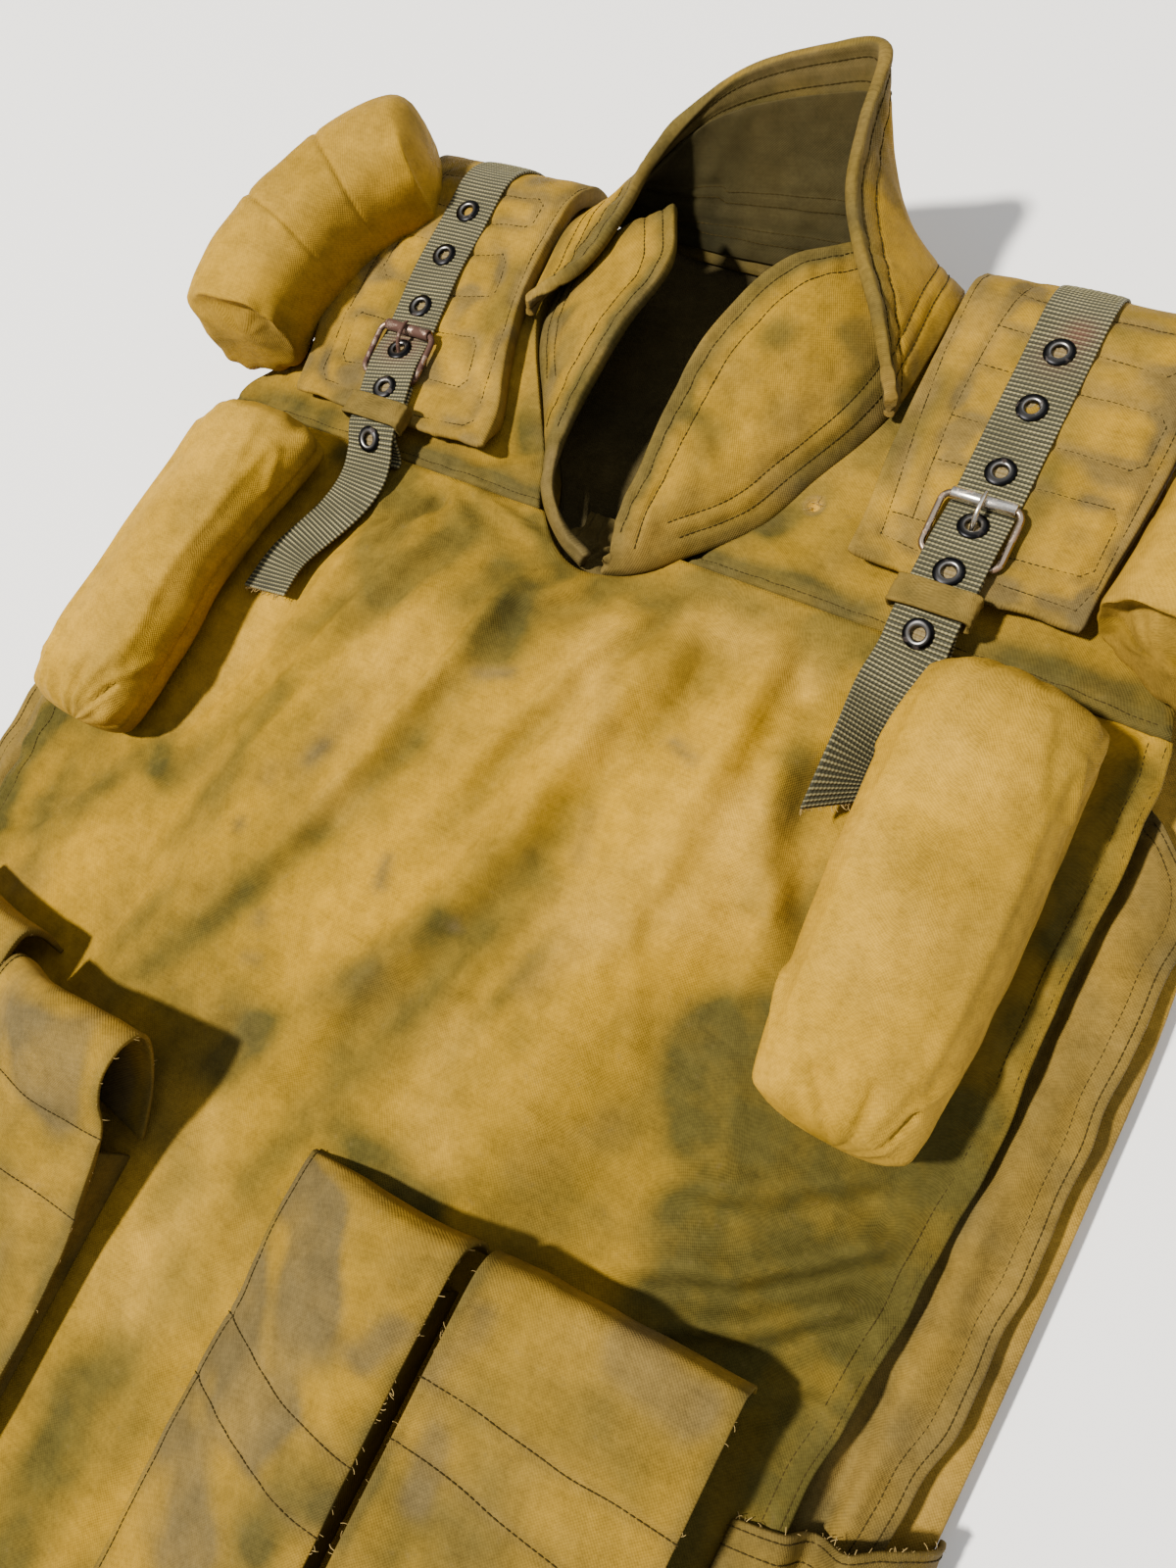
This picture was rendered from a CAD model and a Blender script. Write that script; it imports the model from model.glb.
# %% [markdown]
# # A plated body armour vest, laid flat
# The vest is two padded sections, a back and a front, joined over the shoulders by buckled straps.
# Each piece is made from the same sizes as its solid, with a finer surface: creases, stitching, frayed
# edges and stains. Sizes are in millimetres, as a maker would mark them on the cloth, and every mesh is
# turned into metres only when it is finished.

# %% Tools and the frame
import math

import bpy
import numpy as np
from mathutils import Matrix, Vector

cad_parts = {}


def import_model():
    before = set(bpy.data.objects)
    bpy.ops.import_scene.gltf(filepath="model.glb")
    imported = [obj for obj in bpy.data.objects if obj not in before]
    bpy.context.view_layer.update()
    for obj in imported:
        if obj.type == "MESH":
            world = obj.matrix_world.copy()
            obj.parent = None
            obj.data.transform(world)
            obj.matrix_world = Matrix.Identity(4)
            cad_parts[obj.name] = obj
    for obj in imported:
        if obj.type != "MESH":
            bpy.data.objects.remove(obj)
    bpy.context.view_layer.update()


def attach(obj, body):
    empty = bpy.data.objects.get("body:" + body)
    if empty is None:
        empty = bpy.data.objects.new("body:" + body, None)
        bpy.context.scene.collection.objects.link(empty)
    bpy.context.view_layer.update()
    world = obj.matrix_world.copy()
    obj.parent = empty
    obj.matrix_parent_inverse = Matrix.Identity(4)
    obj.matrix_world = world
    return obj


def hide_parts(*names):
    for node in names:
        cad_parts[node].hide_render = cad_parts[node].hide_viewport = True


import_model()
MM = 0.001
MIDDLE_Y = -39.6  # the middle of the vest's length, which is the frame's origin
RIGHT, LEFT = 1, -1

# %% [markdown]
# ## Camera, floor and light
# The vest lies on a pale floor. The camera stands close above its left edge and is rolled, so the vest runs
# across the frame. One large soft lamp from the hem's right side gives the shadows, and a second one,
# wide and weak, opens them.

# %% Camera
def linked(name, data):
    """An object in the scene for a mesh, lamp or camera."""
    obj = bpy.data.objects.new(name, data)
    bpy.context.scene.collection.objects.link(obj)
    return obj


CAMERA = {"x": 226.49, "y": -63.67, "z": 461.20, "azimuth": 70.528, "elevation": 65.349, "roll": -43.794}
LENS = 26.01


def world(points):
    """Millimetres on the cutting table to metres in the frame."""
    return (np.asarray(points, float) - np.array([0.0, MIDDLE_Y, 0.0])) * MM


azimuth, elevation, roll = (math.radians(CAMERA[key]) for key in ("azimuth", "elevation", "roll"))
level_part = math.cos(elevation)
behind = Vector((level_part * math.sin(azimuth), -level_part * math.cos(azimuth), math.sin(elevation)))
aside = (-behind).cross(Vector((0, 0, 1))).normalized()
above = aside.cross(-behind)
camera_right = math.cos(roll) * aside + math.sin(roll) * above
camera_up = math.cos(roll) * above - math.sin(roll) * aside
camera_data = bpy.data.cameras.new("camera")
camera_data.lens = LENS
camera_data.clip_start = 0.02
camera = linked("camera", camera_data)
turned = Matrix((camera_right, camera_up, behind)).transposed().to_4x4()
camera.matrix_world = Matrix.Translation(world([CAMERA["x"], CAMERA["y"], CAMERA["z"]])) @ turned
bpy.context.scene.camera = camera
print("camera at", [round(value, 4) for value in camera.matrix_world.translation])

# %% Floor and lamps
FLOOR_SIZE, FLOOR_Z = 8.0, -0.0004
floor_mesh = bpy.data.meshes.new("floor")
far = FLOOR_SIZE / 2
floor_mesh.from_pydata([(x, y, FLOOR_Z) for x, y in ((-far, -far), (far, -far), (far, far), (-far, far))],
                       [], [(0, 1, 2, 3)])
floor = linked("floor", floor_mesh)
floor_paint = bpy.data.materials.new("pale_floor")
floor_paint.use_nodes = True
floor_shader = floor_paint.node_tree.nodes["Principled BSDF"]
floor_shader.inputs["Base Color"].default_value = (0.95, 0.95, 0.94, 1)
floor_shader.inputs["Roughness"].default_value = 0.85
floor_mesh.materials.append(floor_paint)


LAMPS_AIM = (0.03, 0.03, 0.03)


def lamp(name, place, size, power, tint):
    data = bpy.data.lights.new(name, "AREA")
    data.size, data.energy, data.color = size, power, tint
    obj = linked(name, data)
    obj.location = place
    obj.rotation_euler = (Vector(LAMPS_AIM) - Vector(place)).to_track_quat("-Z", "Y").to_euler()


lamp("key", (-1.68, -1.28, 4.5), 0.34, 630, (1.0, 0.95, 0.87))
lamp("fill", (0.9, 0.7, 1.5), 1.8, 8, (0.95, 0.97, 1.0))
room = bpy.data.worlds.new("room")
room.use_nodes = True
room.node_tree.nodes["Background"].inputs["Color"].default_value = (0.97, 0.98, 1.0, 1)
room.node_tree.nodes["Background"].inputs["Strength"].default_value = 0.42
bpy.context.scene.world = room

# %% [markdown]
# ## Small sums
# The pieces' tables give a few rows of sizes, and a smooth curve is read between them. Random hills, which
# come out the same on each run, make the cloth uneven.

# %% Sums
def smooth(start, end, value):
    t = np.clip((value - start) / (end - start), 0, 1)
    return t * t * (3 - 2 * t)


def mix(a, b, t):
    return a + (b - a) * t


def ridge(off, wide):
    """1 where `off` is 0, falling off smoothly on both sides."""
    return np.exp(-((off / wide) ** 2))


def table(names, *rows):
    """Rows of sizes as named columns."""
    return {name: np.array(column, float) for name, column in zip(names.split(), zip(*rows))}


def read(rows, column, place, key="y"):
    """One column at a place between the rows, on a smooth curve through them."""
    keys = rows[key]
    values = rows[column]
    last = len(keys) - 1
    place = np.clip(place, keys[0], keys[last])
    k = np.clip(np.searchsorted(keys, place, side="right") - 1, 0, last - 1)
    before = np.maximum(k - 1, 0)
    after = np.minimum(k + 2, last)
    span = keys[k + 1] - keys[k]
    t = (place - keys[k]) / span
    leave = (values[k + 1] - values[before]) / (keys[k + 1] - keys[before]) * span
    arrive = (values[after] - values[k]) / (keys[after] - keys[k]) * span
    t2, t3 = t * t, t ** 3
    start = (2 * t3 - 3 * t2 + 1) * values[k] + (t3 - 2 * t2 + t) * leave
    return start + (3 * t2 - 2 * t3) * values[k + 1] + (t3 - t2) * arrive


def hills(x, y, size, seed):
    """Smooth random heights between -1 and 1, about `size` apart."""
    heights = np.random.default_rng(seed).uniform(-1, 1, (97, 97))
    gx, gy = x / size + 40.3, y / size + 40.7
    i, j = np.floor(gx).astype(int), np.floor(gy).astype(int)
    fx, fy = gx - i, gy - j
    fx, fy = fx * fx * (3 - 2 * fx), fy * fy * (3 - 2 * fy)
    i0, i1, j0, j1 = i % 97, (i + 1) % 97, j % 97, (j + 1) % 97
    low = mix(heights[i0, j0], heights[i1, j0], fx)
    return mix(low, mix(heights[i0, j1], heights[i1, j1], fx), fy)


def strokes(x, y, rows, ragged=0.0, seed=1):
    """Adds up soft strokes, each from one point to another: creases, puckers and stains."""
    total = np.zeros(np.broadcast(x, y).shape)
    wander = ragged * hills(x, y, 19, seed)
    for x0, y0, x1, y1, wide, much in rows:
        dx, dy = x1 - x0, y1 - y0
        long = math.hypot(dx, dy)
        t = ((x - x0) * dx + (y - y0) * dy) / long ** 2
        off = ((x - x0) * dy - (y - y0) * dx) / long
        over = np.maximum(np.maximum(-t, t - 1), 0) * long
        total += much * np.exp(-((off / wide) ** 2) - (over / (0.7 * wide)) ** 2 + wander)
    return total


# %% [markdown]
# ## Making meshes
# A sewn panel is two surfaces, a face and a back, closed by a rounded rim like a turned hem. A stuffed form is
# a run of rings with closed ends. Both carry a metric UV map, so that the weave has the same pitch on every
# piece, and a colour attribute called soil that the cloth's material reads.

# %% Mesh makers
def new_object(name, points, quads, flat_map=None, soil=None, triangles=None):
    """A closed mesh in metres, its place in its vertices and its faces outwards."""
    places = world(points)
    faces = np.asarray(quads, int)
    a, b, c, d = (places[faces[:, k]] for k in range(4))
    volume = np.einsum("ij,ij->i", a, np.cross(b, c)).sum() + np.einsum("ij,ij->i", a, np.cross(c, d)).sum()
    if volume < 0:
        faces = faces[:, ::-1]
    lists = [tuple(face) for face in faces.tolist()]
    if triangles is not None and len(triangles):
        turned_triangles = np.asarray(triangles, int)
        if volume < 0:
            turned_triangles = turned_triangles[:, ::-1]
        lists += [tuple(face) for face in turned_triangles.tolist()]
    mesh = bpy.data.meshes.new(name)
    mesh.from_pydata(places.tolist(), [], lists)
    corners = np.empty(len(mesh.loops), int)
    mesh.loops.foreach_get("vertex_index", corners)
    if flat_map is not None:
        layer = mesh.uv_layers.new(name="cloth")
        layer.data.foreach_set("uv", np.asarray(flat_map, float)[corners].ravel())
    if soil is not None:
        layer = mesh.color_attributes.new("soil", "FLOAT_COLOR", "POINT")
        values = np.ones((len(places), 4))
        values[:, :3] = np.clip(soil, 0, 1)
        layer.data.foreach_set("color", values.ravel())
    mesh.shade_smooth()
    return linked(name, mesh)


def normals_of(grid):
    """Unit normals of a grid of points."""
    du = np.gradient(grid, axis=1)
    dv = np.gradient(grid, axis=0)
    n = np.cross(du, dv)
    return n / np.maximum(np.linalg.norm(n, axis=2, keepdims=True), 1e-9)


def outward_normals(grid, row, column, axis):
    """The grid's normals, turned so that the one at a row and column points along +axis."""
    normals = normals_of(grid)
    return -normals if normals[row, column, axis] < 0 else normals


def unit(vectors):
    return vectors / np.linalg.norm(vectors, axis=-1, keepdims=True)


def run_of(route):
    """Distance along a route at each of its points."""
    return np.concatenate([[0], np.cumsum(np.linalg.norm(np.diff(route, axis=0), axis=-1))])


def flat_map_of(grid):
    """Distances along and across a grid, in millimetres, counted from its middle."""
    across = np.linalg.norm(np.diff(grid, axis=1), axis=2)
    along = np.linalg.norm(np.diff(grid, axis=0), axis=2)
    u = np.concatenate([np.zeros((grid.shape[0], 1)), np.cumsum(across, axis=1)], axis=1)
    v = np.concatenate([np.zeros((1, grid.shape[1])), np.cumsum(along, axis=0)], axis=0)
    return np.stack([u - u[:, -1:] / 2, v], axis=2)


def panel(name, face, back, roundness=0.8, soil=None, back_soil=None, flat_map=None):
    """A closed panel between two grids of points, with a rounded rim."""
    rows, columns = face.shape[:2]
    order = np.arange(rows * columns).reshape(rows, columns)
    rim = np.concatenate([order[0, :-1], order[:-1, -1], order[-1, :0:-1], order[:0:-1, 0]])
    flat = face.reshape(-1, 3)
    under = back.reshape(-1, 3)
    inward = np.concatenate([order[1, :-1], order[:-1, -2], order[-2, :0:-1], order[:0:-1, 1]])
    away = flat[rim] - flat[inward]
    away /= np.maximum(np.linalg.norm(away, axis=1, keepdims=True), 1e-9)
    middle = (flat[rim] + under[rim]) / 2
    half = (flat[rim] - under[rim]) / 2
    hem = [middle + away * roundness * math.cos(turn) + half * math.sin(turn) for turn in (0.9, 0.0, -0.9)]
    size = rows * columns
    points = np.concatenate([flat, under, *hem])
    rings = [rim, *(2 * size + k * len(rim) + np.arange(len(rim)) for k in range(3)), size + rim]
    cells = np.stack([order[:-1, :-1], order[:-1, 1:], order[1:, 1:], order[1:, :-1]], axis=2).reshape(-1, 4)
    quads = [cells, size + cells[:, ::-1]]
    for upper, lower in zip(rings[:-1], rings[1:]):
        quads.append(np.stack([upper, lower, np.roll(lower, -1), np.roll(upper, -1)], axis=1))
    place = (flat_map_of(face) if flat_map is None else flat_map).reshape(-1, 2)
    rim_place = [place[rim]] * 3
    tint = None
    if soil is not None:
        stain = soil.reshape(-1, 3)
        under_stain = stain if back_soil is None else back_soil.reshape(-1, 3)
        tint = np.concatenate([stain, under_stain, *([stain[rim]] * 3)])
    return new_object(name, points, np.concatenate(quads), np.concatenate([place, place, *rim_place]), tint)


def stuffed(name, rings, soil=None):
    """A closed form from rings of points (rows, round), with a pinched middle at each end."""
    rows, around = rings.shape[:2]
    order = np.arange(rows * around).reshape(rows, around)
    beside = np.roll(order, -1, axis=1)
    quads = np.stack([order[:-1], beside[:-1], beside[1:], order[1:]], axis=2).reshape(-1, 4)
    hubs = [rings[0].mean(axis=0), rings[-1].mean(axis=0)]
    points = np.concatenate([rings.reshape(-1, 3), hubs])
    first, last = rows * around, rows * around + 1
    caps = [(order[0, k], first, beside[0, k]) for k in range(around)]
    caps += [(order[-1, k], beside[-1, k], last) for k in range(around)]
    caps = [(b, a, c) for a, c, b in caps]
    place = flat_map_of(np.concatenate([rings, rings[:, :1]], axis=1))[:, :-1].reshape(-1, 2)
    place = np.concatenate([place, [place[0], place[-1]]])
    tint = None
    if soil is not None:
        stain = soil.reshape(-1, 3)
        tint = np.concatenate([stain, [stain[0], stain[-1]]])
    return new_object(name, points, quads, place, tint, caps)


def looped(rings):
    """The quads of rings that close round and also close from the last ring to the first."""
    order = np.arange(rings.shape[0] * rings.shape[1]).reshape(rings.shape[:2])
    beside = np.roll(order, -1, axis=1)
    return np.stack([order, beside, np.roll(beside, -1, axis=0), np.roll(order, -1, axis=0)],
                    axis=2).reshape(-1, 4)


def dressed(obj, material, nodes):
    """Gives a piece its material, its solids and its finish in the record."""
    obj.data.materials.clear()
    obj.data.materials.append(material)
    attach(obj, "root")
    if nodes:
        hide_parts(*nodes)
    print(f"{obj.name}: {sum(len(face.vertices) - 2 for face in obj.data.polygons)} triangles")
    return obj


def spaced(start, end, step):
    return np.linspace(start, end, max(int(round(abs(end - start) / step)), 2) + 1)


# %% [markdown]
# ## The cloth
# A satin-faced synthetic cloth that was olive once and has faded to golden khaki. Its colour is mixed in the
# shader from soft noise, and from the soil attribute: red says how much of the old olive or of damp stain
# shows, green how much grey dirt, blue where the cloth is bleached. A fine plain weave is a bump in the
# piece's own UV map, in millimetres.

# %% Shader helpers
def put(tree, kind, inputs=None, **settings):
    node = tree.nodes.new(kind)
    for key, value in settings.items():
        setattr(node, key, value)
    for key, value in (inputs or {}).items():
        if isinstance(value, bpy.types.NodeSocket):
            tree.links.new(value, node.inputs[key])
        else:
            node.inputs[key].default_value = value
    return node


def colour(red, green, blue):
    return (red, green, blue, 1.0)


def mixed(tree, amount, first, second, blend="MIX"):
    node = put(tree, "ShaderNodeMix", data_type="RGBA", blend_type=blend)
    for key, value in ((0, amount), (6, first), (7, second)):
        if isinstance(value, bpy.types.NodeSocket):
            tree.links.new(value, node.inputs[key])
        else:
            node.inputs[key].default_value = value
    return node.outputs[2]


def sum_of(tree, operation, first, second, clamped=False):
    node = put(tree, "ShaderNodeMath", {0: first, 1: second}, operation=operation, use_clamp=clamped)
    return node.outputs[0]


def band(tree, value, low, high, start=0.0, end=1.0):
    inputs = {"Value": value, "From Min": low, "From Max": high, "To Min": start, "To Max": end}
    return put(tree, "ShaderNodeMapRange", inputs).outputs[0]


def cloudy(tree, place, scale, detail=3.0):
    return put(tree, "ShaderNodeTexNoise", {"Vector": place, "Scale": scale, "Detail": detail}).outputs["Fac"]


def new_material(name):
    material = bpy.data.materials.new(name)
    material.use_nodes = True
    material.node_tree.nodes.clear()
    return material, material.node_tree


def finished(tree, inputs, bump=None, strength=1.0, distance=0.0002):
    """Closes a material with its shader."""
    if bump is not None:
        relief = put(tree, "ShaderNodeBump", {"Height": bump, "Strength": strength, "Distance": distance})
        inputs["Normal"] = relief.outputs[0]
    shader = put(tree, "ShaderNodeBsdfPrincipled", inputs)
    put(tree, "ShaderNodeOutputMaterial", {"Surface": shader.outputs[0]})


def thread_waves(tree, flat, pitch_across, pitch_along):
    """Two crossing rows of threads, as a height between -1 and 1."""
    parts = put(tree, "ShaderNodeSeparateXYZ", {0: flat})
    waves = []
    for axis, pitch in ((0, pitch_across), (1, pitch_along)):
        turn = sum_of(tree, "MULTIPLY", parts.outputs[axis], 2 * math.pi / pitch)
        waves.append(put(tree, "ShaderNodeMath", {0: turn}, operation="SINE").outputs[0])
    return waves


# %% Cloth
WEAVE_PITCH = 1.25


def cloth_material(name, clean, faded, olive, grey, pale, sheen=0.0, rough=0.62):
    material, tree = new_material(name)
    source = put(tree, "ShaderNodeTexCoord")
    place = source.outputs["Object"]
    flat = source.outputs["UV"]
    soil = put(tree, "ShaderNodeAttribute", attribute_name="soil", attribute_type="GEOMETRY")
    parts = put(tree, "ShaderNodeSeparateColor", {0: soil.outputs["Color"]})
    broad = cloudy(tree, place, 15.0, 4.0)
    patch = cloudy(tree, place, 46.0, 5.0)
    speck = cloudy(tree, place, 260.0, 3.0)
    base = mixed(tree, band(tree, broad, 0.36, 0.64), clean, faded)
    base = mixed(tree, band(tree, patch, 0.5, 0.78, 0.0, 0.3), base, olive)
    uneven = band(tree, patch, 0.3, 0.7, 0.84, 1.1)
    for channel, tint in ((0, olive), (1, grey), (2, pale)):
        amount = sum_of(tree, "MULTIPLY", parts.outputs[channel], uneven, clamped=True)
        base = mixed(tree, amount, base, tint)
    base = mixed(tree, band(tree, speck, 0.64, 0.8, 0.0, 0.35), base, grey)
    wave_across, wave_along = thread_waves(tree, flat, WEAVE_PITCH, WEAVE_PITCH)
    weave = sum_of(tree, "MULTIPLY", wave_across, wave_along)
    slub_place = put(tree, "ShaderNodeMapping", {"Vector": flat, "Scale": (0.05, 1.3, 1.0)}).outputs[0]
    slub = cloudy(tree, slub_place, 1.0, 2.0)
    shade = sum_of(tree, "MULTIPLY_ADD", weave, 0.1)
    shade.node.inputs[2].default_value = 0.93
    shade = sum_of(tree, "ADD", shade, band(tree, slub, 0.3, 0.7, -0.06, 0.06))
    mottle = cloudy(tree, place, 130.0, 5.0)
    grit = cloudy(tree, place, 640.0, 2.0)
    shade = sum_of(tree, "ADD", shade, band(tree, grit, 0.3, 0.7, -0.1, 0.1))
    shade = sum_of(tree, "ADD", shade, band(tree, mottle, 0.3, 0.7, -0.14, 0.14))
    grain = put(tree, "ShaderNodeCombineColor", {0: shade, 1: shade, 2: shade}).outputs[0]
    base = mixed(tree, 1.0, base, grain, "MULTIPLY")
    height = sum_of(tree, "ADD", weave, sum_of(tree, "MULTIPLY", speck, 1.5))
    height = sum_of(tree, "ADD", height, sum_of(tree, "MULTIPLY", cloudy(tree, place, 75.0, 4.0), 3.5))
    drawn = put(tree, "ShaderNodeMapping",
                {"Vector": flat, "Rotation": (0, 0, 0.36), "Scale": (0.13, 0.022, 1.0)})
    drag = cloudy(tree, drawn.outputs[0], 1.0, 4.0)
    height = sum_of(tree, "ADD", height, sum_of(tree, "MULTIPLY", drag, 5.0))
    gloss = band(tree, patch, 0.3, 0.7, rough - 0.07, rough + 0.09)
    finished(tree, {"Base Color": base, "Roughness": gloss, "Sheen Weight": sheen, "Sheen Roughness": 0.35,
                    "Sheen Tint": colour(1.0, 0.8, 0.4), "Specular IOR Level": 0.04,
                    "Specular Tint": colour(1.0, 0.8, 0.42)},
             height, 0.5, 0.00016)
    return material


KHAKI = cloth_material("faded_khaki", colour(0.405, 0.226, 0.009), colour(0.34, 0.194, 0.013),
                       colour(0.07, 0.057, 0.013), colour(0.115, 0.084, 0.032), colour(0.56, 0.325, 0.035))
SHADED = cloth_material("worn_khaki", colour(0.2, 0.125, 0.018), colour(0.165, 0.108, 0.02),
                        colour(0.06, 0.046, 0.008), colour(0.09, 0.068, 0.028), colour(0.34, 0.215, 0.045))
LINING = cloth_material("olive_lining", colour(0.022, 0.0225, 0.0125), colour(0.032, 0.0315, 0.017),
                        colour(0.012, 0.012, 0.006), colour(0.022, 0.02, 0.012), colour(0.12, 0.085, 0.025),
                        sheen=0.05, rough=0.72)
THREAD = cloth_material("sewing_thread", colour(0.05, 0.034, 0.01), colour(0.035, 0.026, 0.008),
                        colour(0.03, 0.024, 0.008), colour(0.04, 0.03, 0.016), colour(0.2, 0.14, 0.04))
FRAY = cloth_material("frayed_thread", colour(0.4, 0.28, 0.1), colour(0.3, 0.21, 0.08),
                      colour(0.2, 0.15, 0.05), colour(0.3, 0.23, 0.12), colour(0.75, 0.62, 0.36))

# %% Webbing
RIB_PITCH = 1.95
RIB_WIDTH = 1.5


def webbing_material(name, dark, light, red_rust):
    material, tree = new_material(name)
    source = put(tree, "ShaderNodeTexCoord")
    soil = put(tree, "ShaderNodeAttribute", attribute_name="soil", attribute_type="GEOMETRY")
    parts = put(tree, "ShaderNodeSeparateColor", {0: soil.outputs["Color"]})
    across, along = thread_waves(tree, source.outputs["UV"], RIB_WIDTH, RIB_PITCH)
    knots = sum_of(tree, "MULTIPLY_ADD", across, 0.32)
    tree.links.new(along, knots.node.inputs[2])
    patch = cloudy(tree, source.outputs["Object"], 60.0, 4.0)
    fine = cloudy(tree, source.outputs["Object"], 700.0, 2.0)
    lit = band(tree, knots, 0.0, 1.1)
    lit = sum_of(tree, "MULTIPLY", lit, band(tree, patch, 0.3, 0.7, 0.55, 1.0))
    lit = sum_of(tree, "MULTIPLY", lit, band(tree, fine, 0.3, 0.6, 0.85, 1.0))
    base = mixed(tree, lit, dark, light)
    base = mixed(tree, parts.outputs[0], base, red_rust)
    base = mixed(tree, parts.outputs[1], base, colour(0.012, 0.012, 0.009))
    base = mixed(tree, parts.outputs[2], base, colour(0.2, 0.14, 0.05))
    finished(tree, {"Base Color": base, "Roughness": 0.7, "Sheen Weight": 0.04,
                    "Sheen Tint": colour(0.9, 0.9, 0.7), "Specular IOR Level": 0.35}, knots, 0.7, 0.0003)
    return material


WEBBING = webbing_material("ribbed_webbing", colour(0.03, 0.028, 0.012), colour(0.34, 0.295, 0.135),
                           colour(0.13, 0.035, 0.02))


# %% Metals
def metal_material(name, body, worn, rust, rust_share, rough, scratched=1.0):
    """Worn metal: blotches of rust over bright metal, and fine scratches."""
    material, tree = new_material(name)
    place = put(tree, "ShaderNodeTexCoord").outputs["Object"]
    soil = put(tree, "ShaderNodeAttribute", attribute_name="soil", attribute_type="GEOMETRY")
    parts = put(tree, "ShaderNodeSeparateColor", {0: soil.outputs["Color"]})
    blotch = cloudy(tree, place, 210.0, 5.0)
    fine = cloudy(tree, place, 1500.0, 3.0)
    base = mixed(tree, band(tree, fine, 0.4, 0.66, 0.0, scratched), body, worn)
    base = mixed(tree, parts.outputs[2], base, worn)
    base = mixed(tree, parts.outputs[0], base, colour(0.3, 0.2, 0.12))
    rusty = band(tree, blotch, 0.72 - rust_share, 0.8 - rust_share)
    base = mixed(tree, rusty, base, rust)
    gloss = mixed(tree, rusty, colour(rough, rough, rough), colour(0.8, 0.8, 0.8))
    metal = band(tree, rusty, 0.0, 1.0, 1.0, 0.25)
    finished(tree, {"Base Color": base, "Roughness": gloss, "Metallic": metal}, blotch, 0.35, 0.0001)
    return material


BLACK_STEEL = metal_material("blackened_steel", colour(0.01, 0.01, 0.011), colour(0.5, 0.48, 0.45),
                             colour(0.03, 0.02, 0.016), 0.12, 0.34, 0.0)
BRIGHT_STEEL = metal_material("bright_steel", colour(0.62, 0.57, 0.5), colour(0.78, 0.74, 0.66),
                              colour(0.2, 0.12, 0.07), 0.14, 0.26)
RUSTY_STEEL = metal_material("rusty_steel", colour(0.2, 0.125, 0.09), colour(0.42, 0.31, 0.24),
                             colour(0.075, 0.032, 0.02), 0.3, 0.42)

# %% [markdown]
# ## Stains
# The old olive shows where straps and pads kept the light off, and dirt gathers at seams, folds and edges.
# Each stain is a soft stroke placed by hand on the table, and random hills break its edge.

# %% Stains of the front
OLIVE_STROKES = (
    (-45, 50, -5, 36, 13, 0.5), (-98, 52, -70, 44, 12, 0.45), (-128, 66, -124, 25, 13, 0.5),
    (-100, -20, -112, -100, 13, 0.3), (48, 96, 76, 96, 10, 0.8), (88, 98, 140, 93, 10, 0.8),
    (123, 42, 127, -15, 9, 0.6), (138, -58, 170, -74, 17, 0.75), (192, -80, 216, -88, 17, 0.7),
    (190, -120, 228, -116, 12, 0.6), (227, -8, 224, -112, 10, 0.6), (58, -43, 5, -196, 9, 0.32),
    (-23, -17, -73, -133, 10, 0.32), (30, -163, 78, -170, 9, 0.55), (-192, -60, -190, -150, 22, 0.4),
    (-152, 98, -108, 97, 8, 0.5), (-36, 98, -6, 78, 7, 0.5), (10, 78, 38, 98, 7, 0.5),
    (150, -130, 190, -140, 9, 0.45), (-150, 52, -146, -80, 8, 0.5), (148, 60, 150, -60, 7, 0.45),
    (-226, 60, -226, -140, 9, 0.5), (225, 90, 228, 20, 9, 0.5), (-20, -210, -6, -370, 12, 0.35),
    (142, -70, 150, -96, 14, 0.75), (168, -86, 220, -104, 26, 0.75),
    (176, -130, 226, -190, 24, 0.6), (26, -75, -20, -148, 9, 0.4), (-24, -150, -34, -200, 13, 0.4),
    (72, -57, 56, -116, 5, 0.45), (32, 80, 50, 88, 9, 0.7), (-120, 0, -72, 38, 12, 0.35),
    (-38, 68, -14, 62, 8, 0.6), (110, 96, 118, 40, 9, 0.5), (212, -200, 222, -380, 16, 0.5),
    (-214, -60, -226, -160, 20, 0.5), (-150, -70, -190, -136, 14, 0.35), (12, -104, 12, -140, 7, 0.35),
    (178, -92, 196, -190, 40, 0.5), (-150, 92, -50, 84, 20, 0.28), (50, 78, 150, 82, 20, 0.3),
    (-30, 60, 30, 70, 20, 0.25), (-100, 70, 100, 74, 34, 0.2), (-124, 78, -92, 60, 16, 0.4),
    (-96, 84, -36, 66, 22, 0.4), (128, -78, 196, -108, 30, 0.4), (-60, 60, -84, 20, 14, 0.35),
    (-60, -190, -20, -300, 42, 0.22), (0, -240, 10, -370, 34, 0.2), (20, -160, 110, -158, 24, 0.25),
    (-190, -200, -120, -330, 60, 0.2), (-100, -160, -140, -240, 40, 0.15), (208, 90, 216, -60, 20, 0.4),
    (-214, 90, -216, -60, 16, 0.3), (206, -200, 204, -350, 26, 0.5), (229, 90, 224, -370, 11, 0.4),
    (118, -200, 116, -370, 8, 0.4), (-60, -372, 90, -374, 9, 0.4), (-190, -374, -120, -372, 8, 0.4),
)
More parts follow.
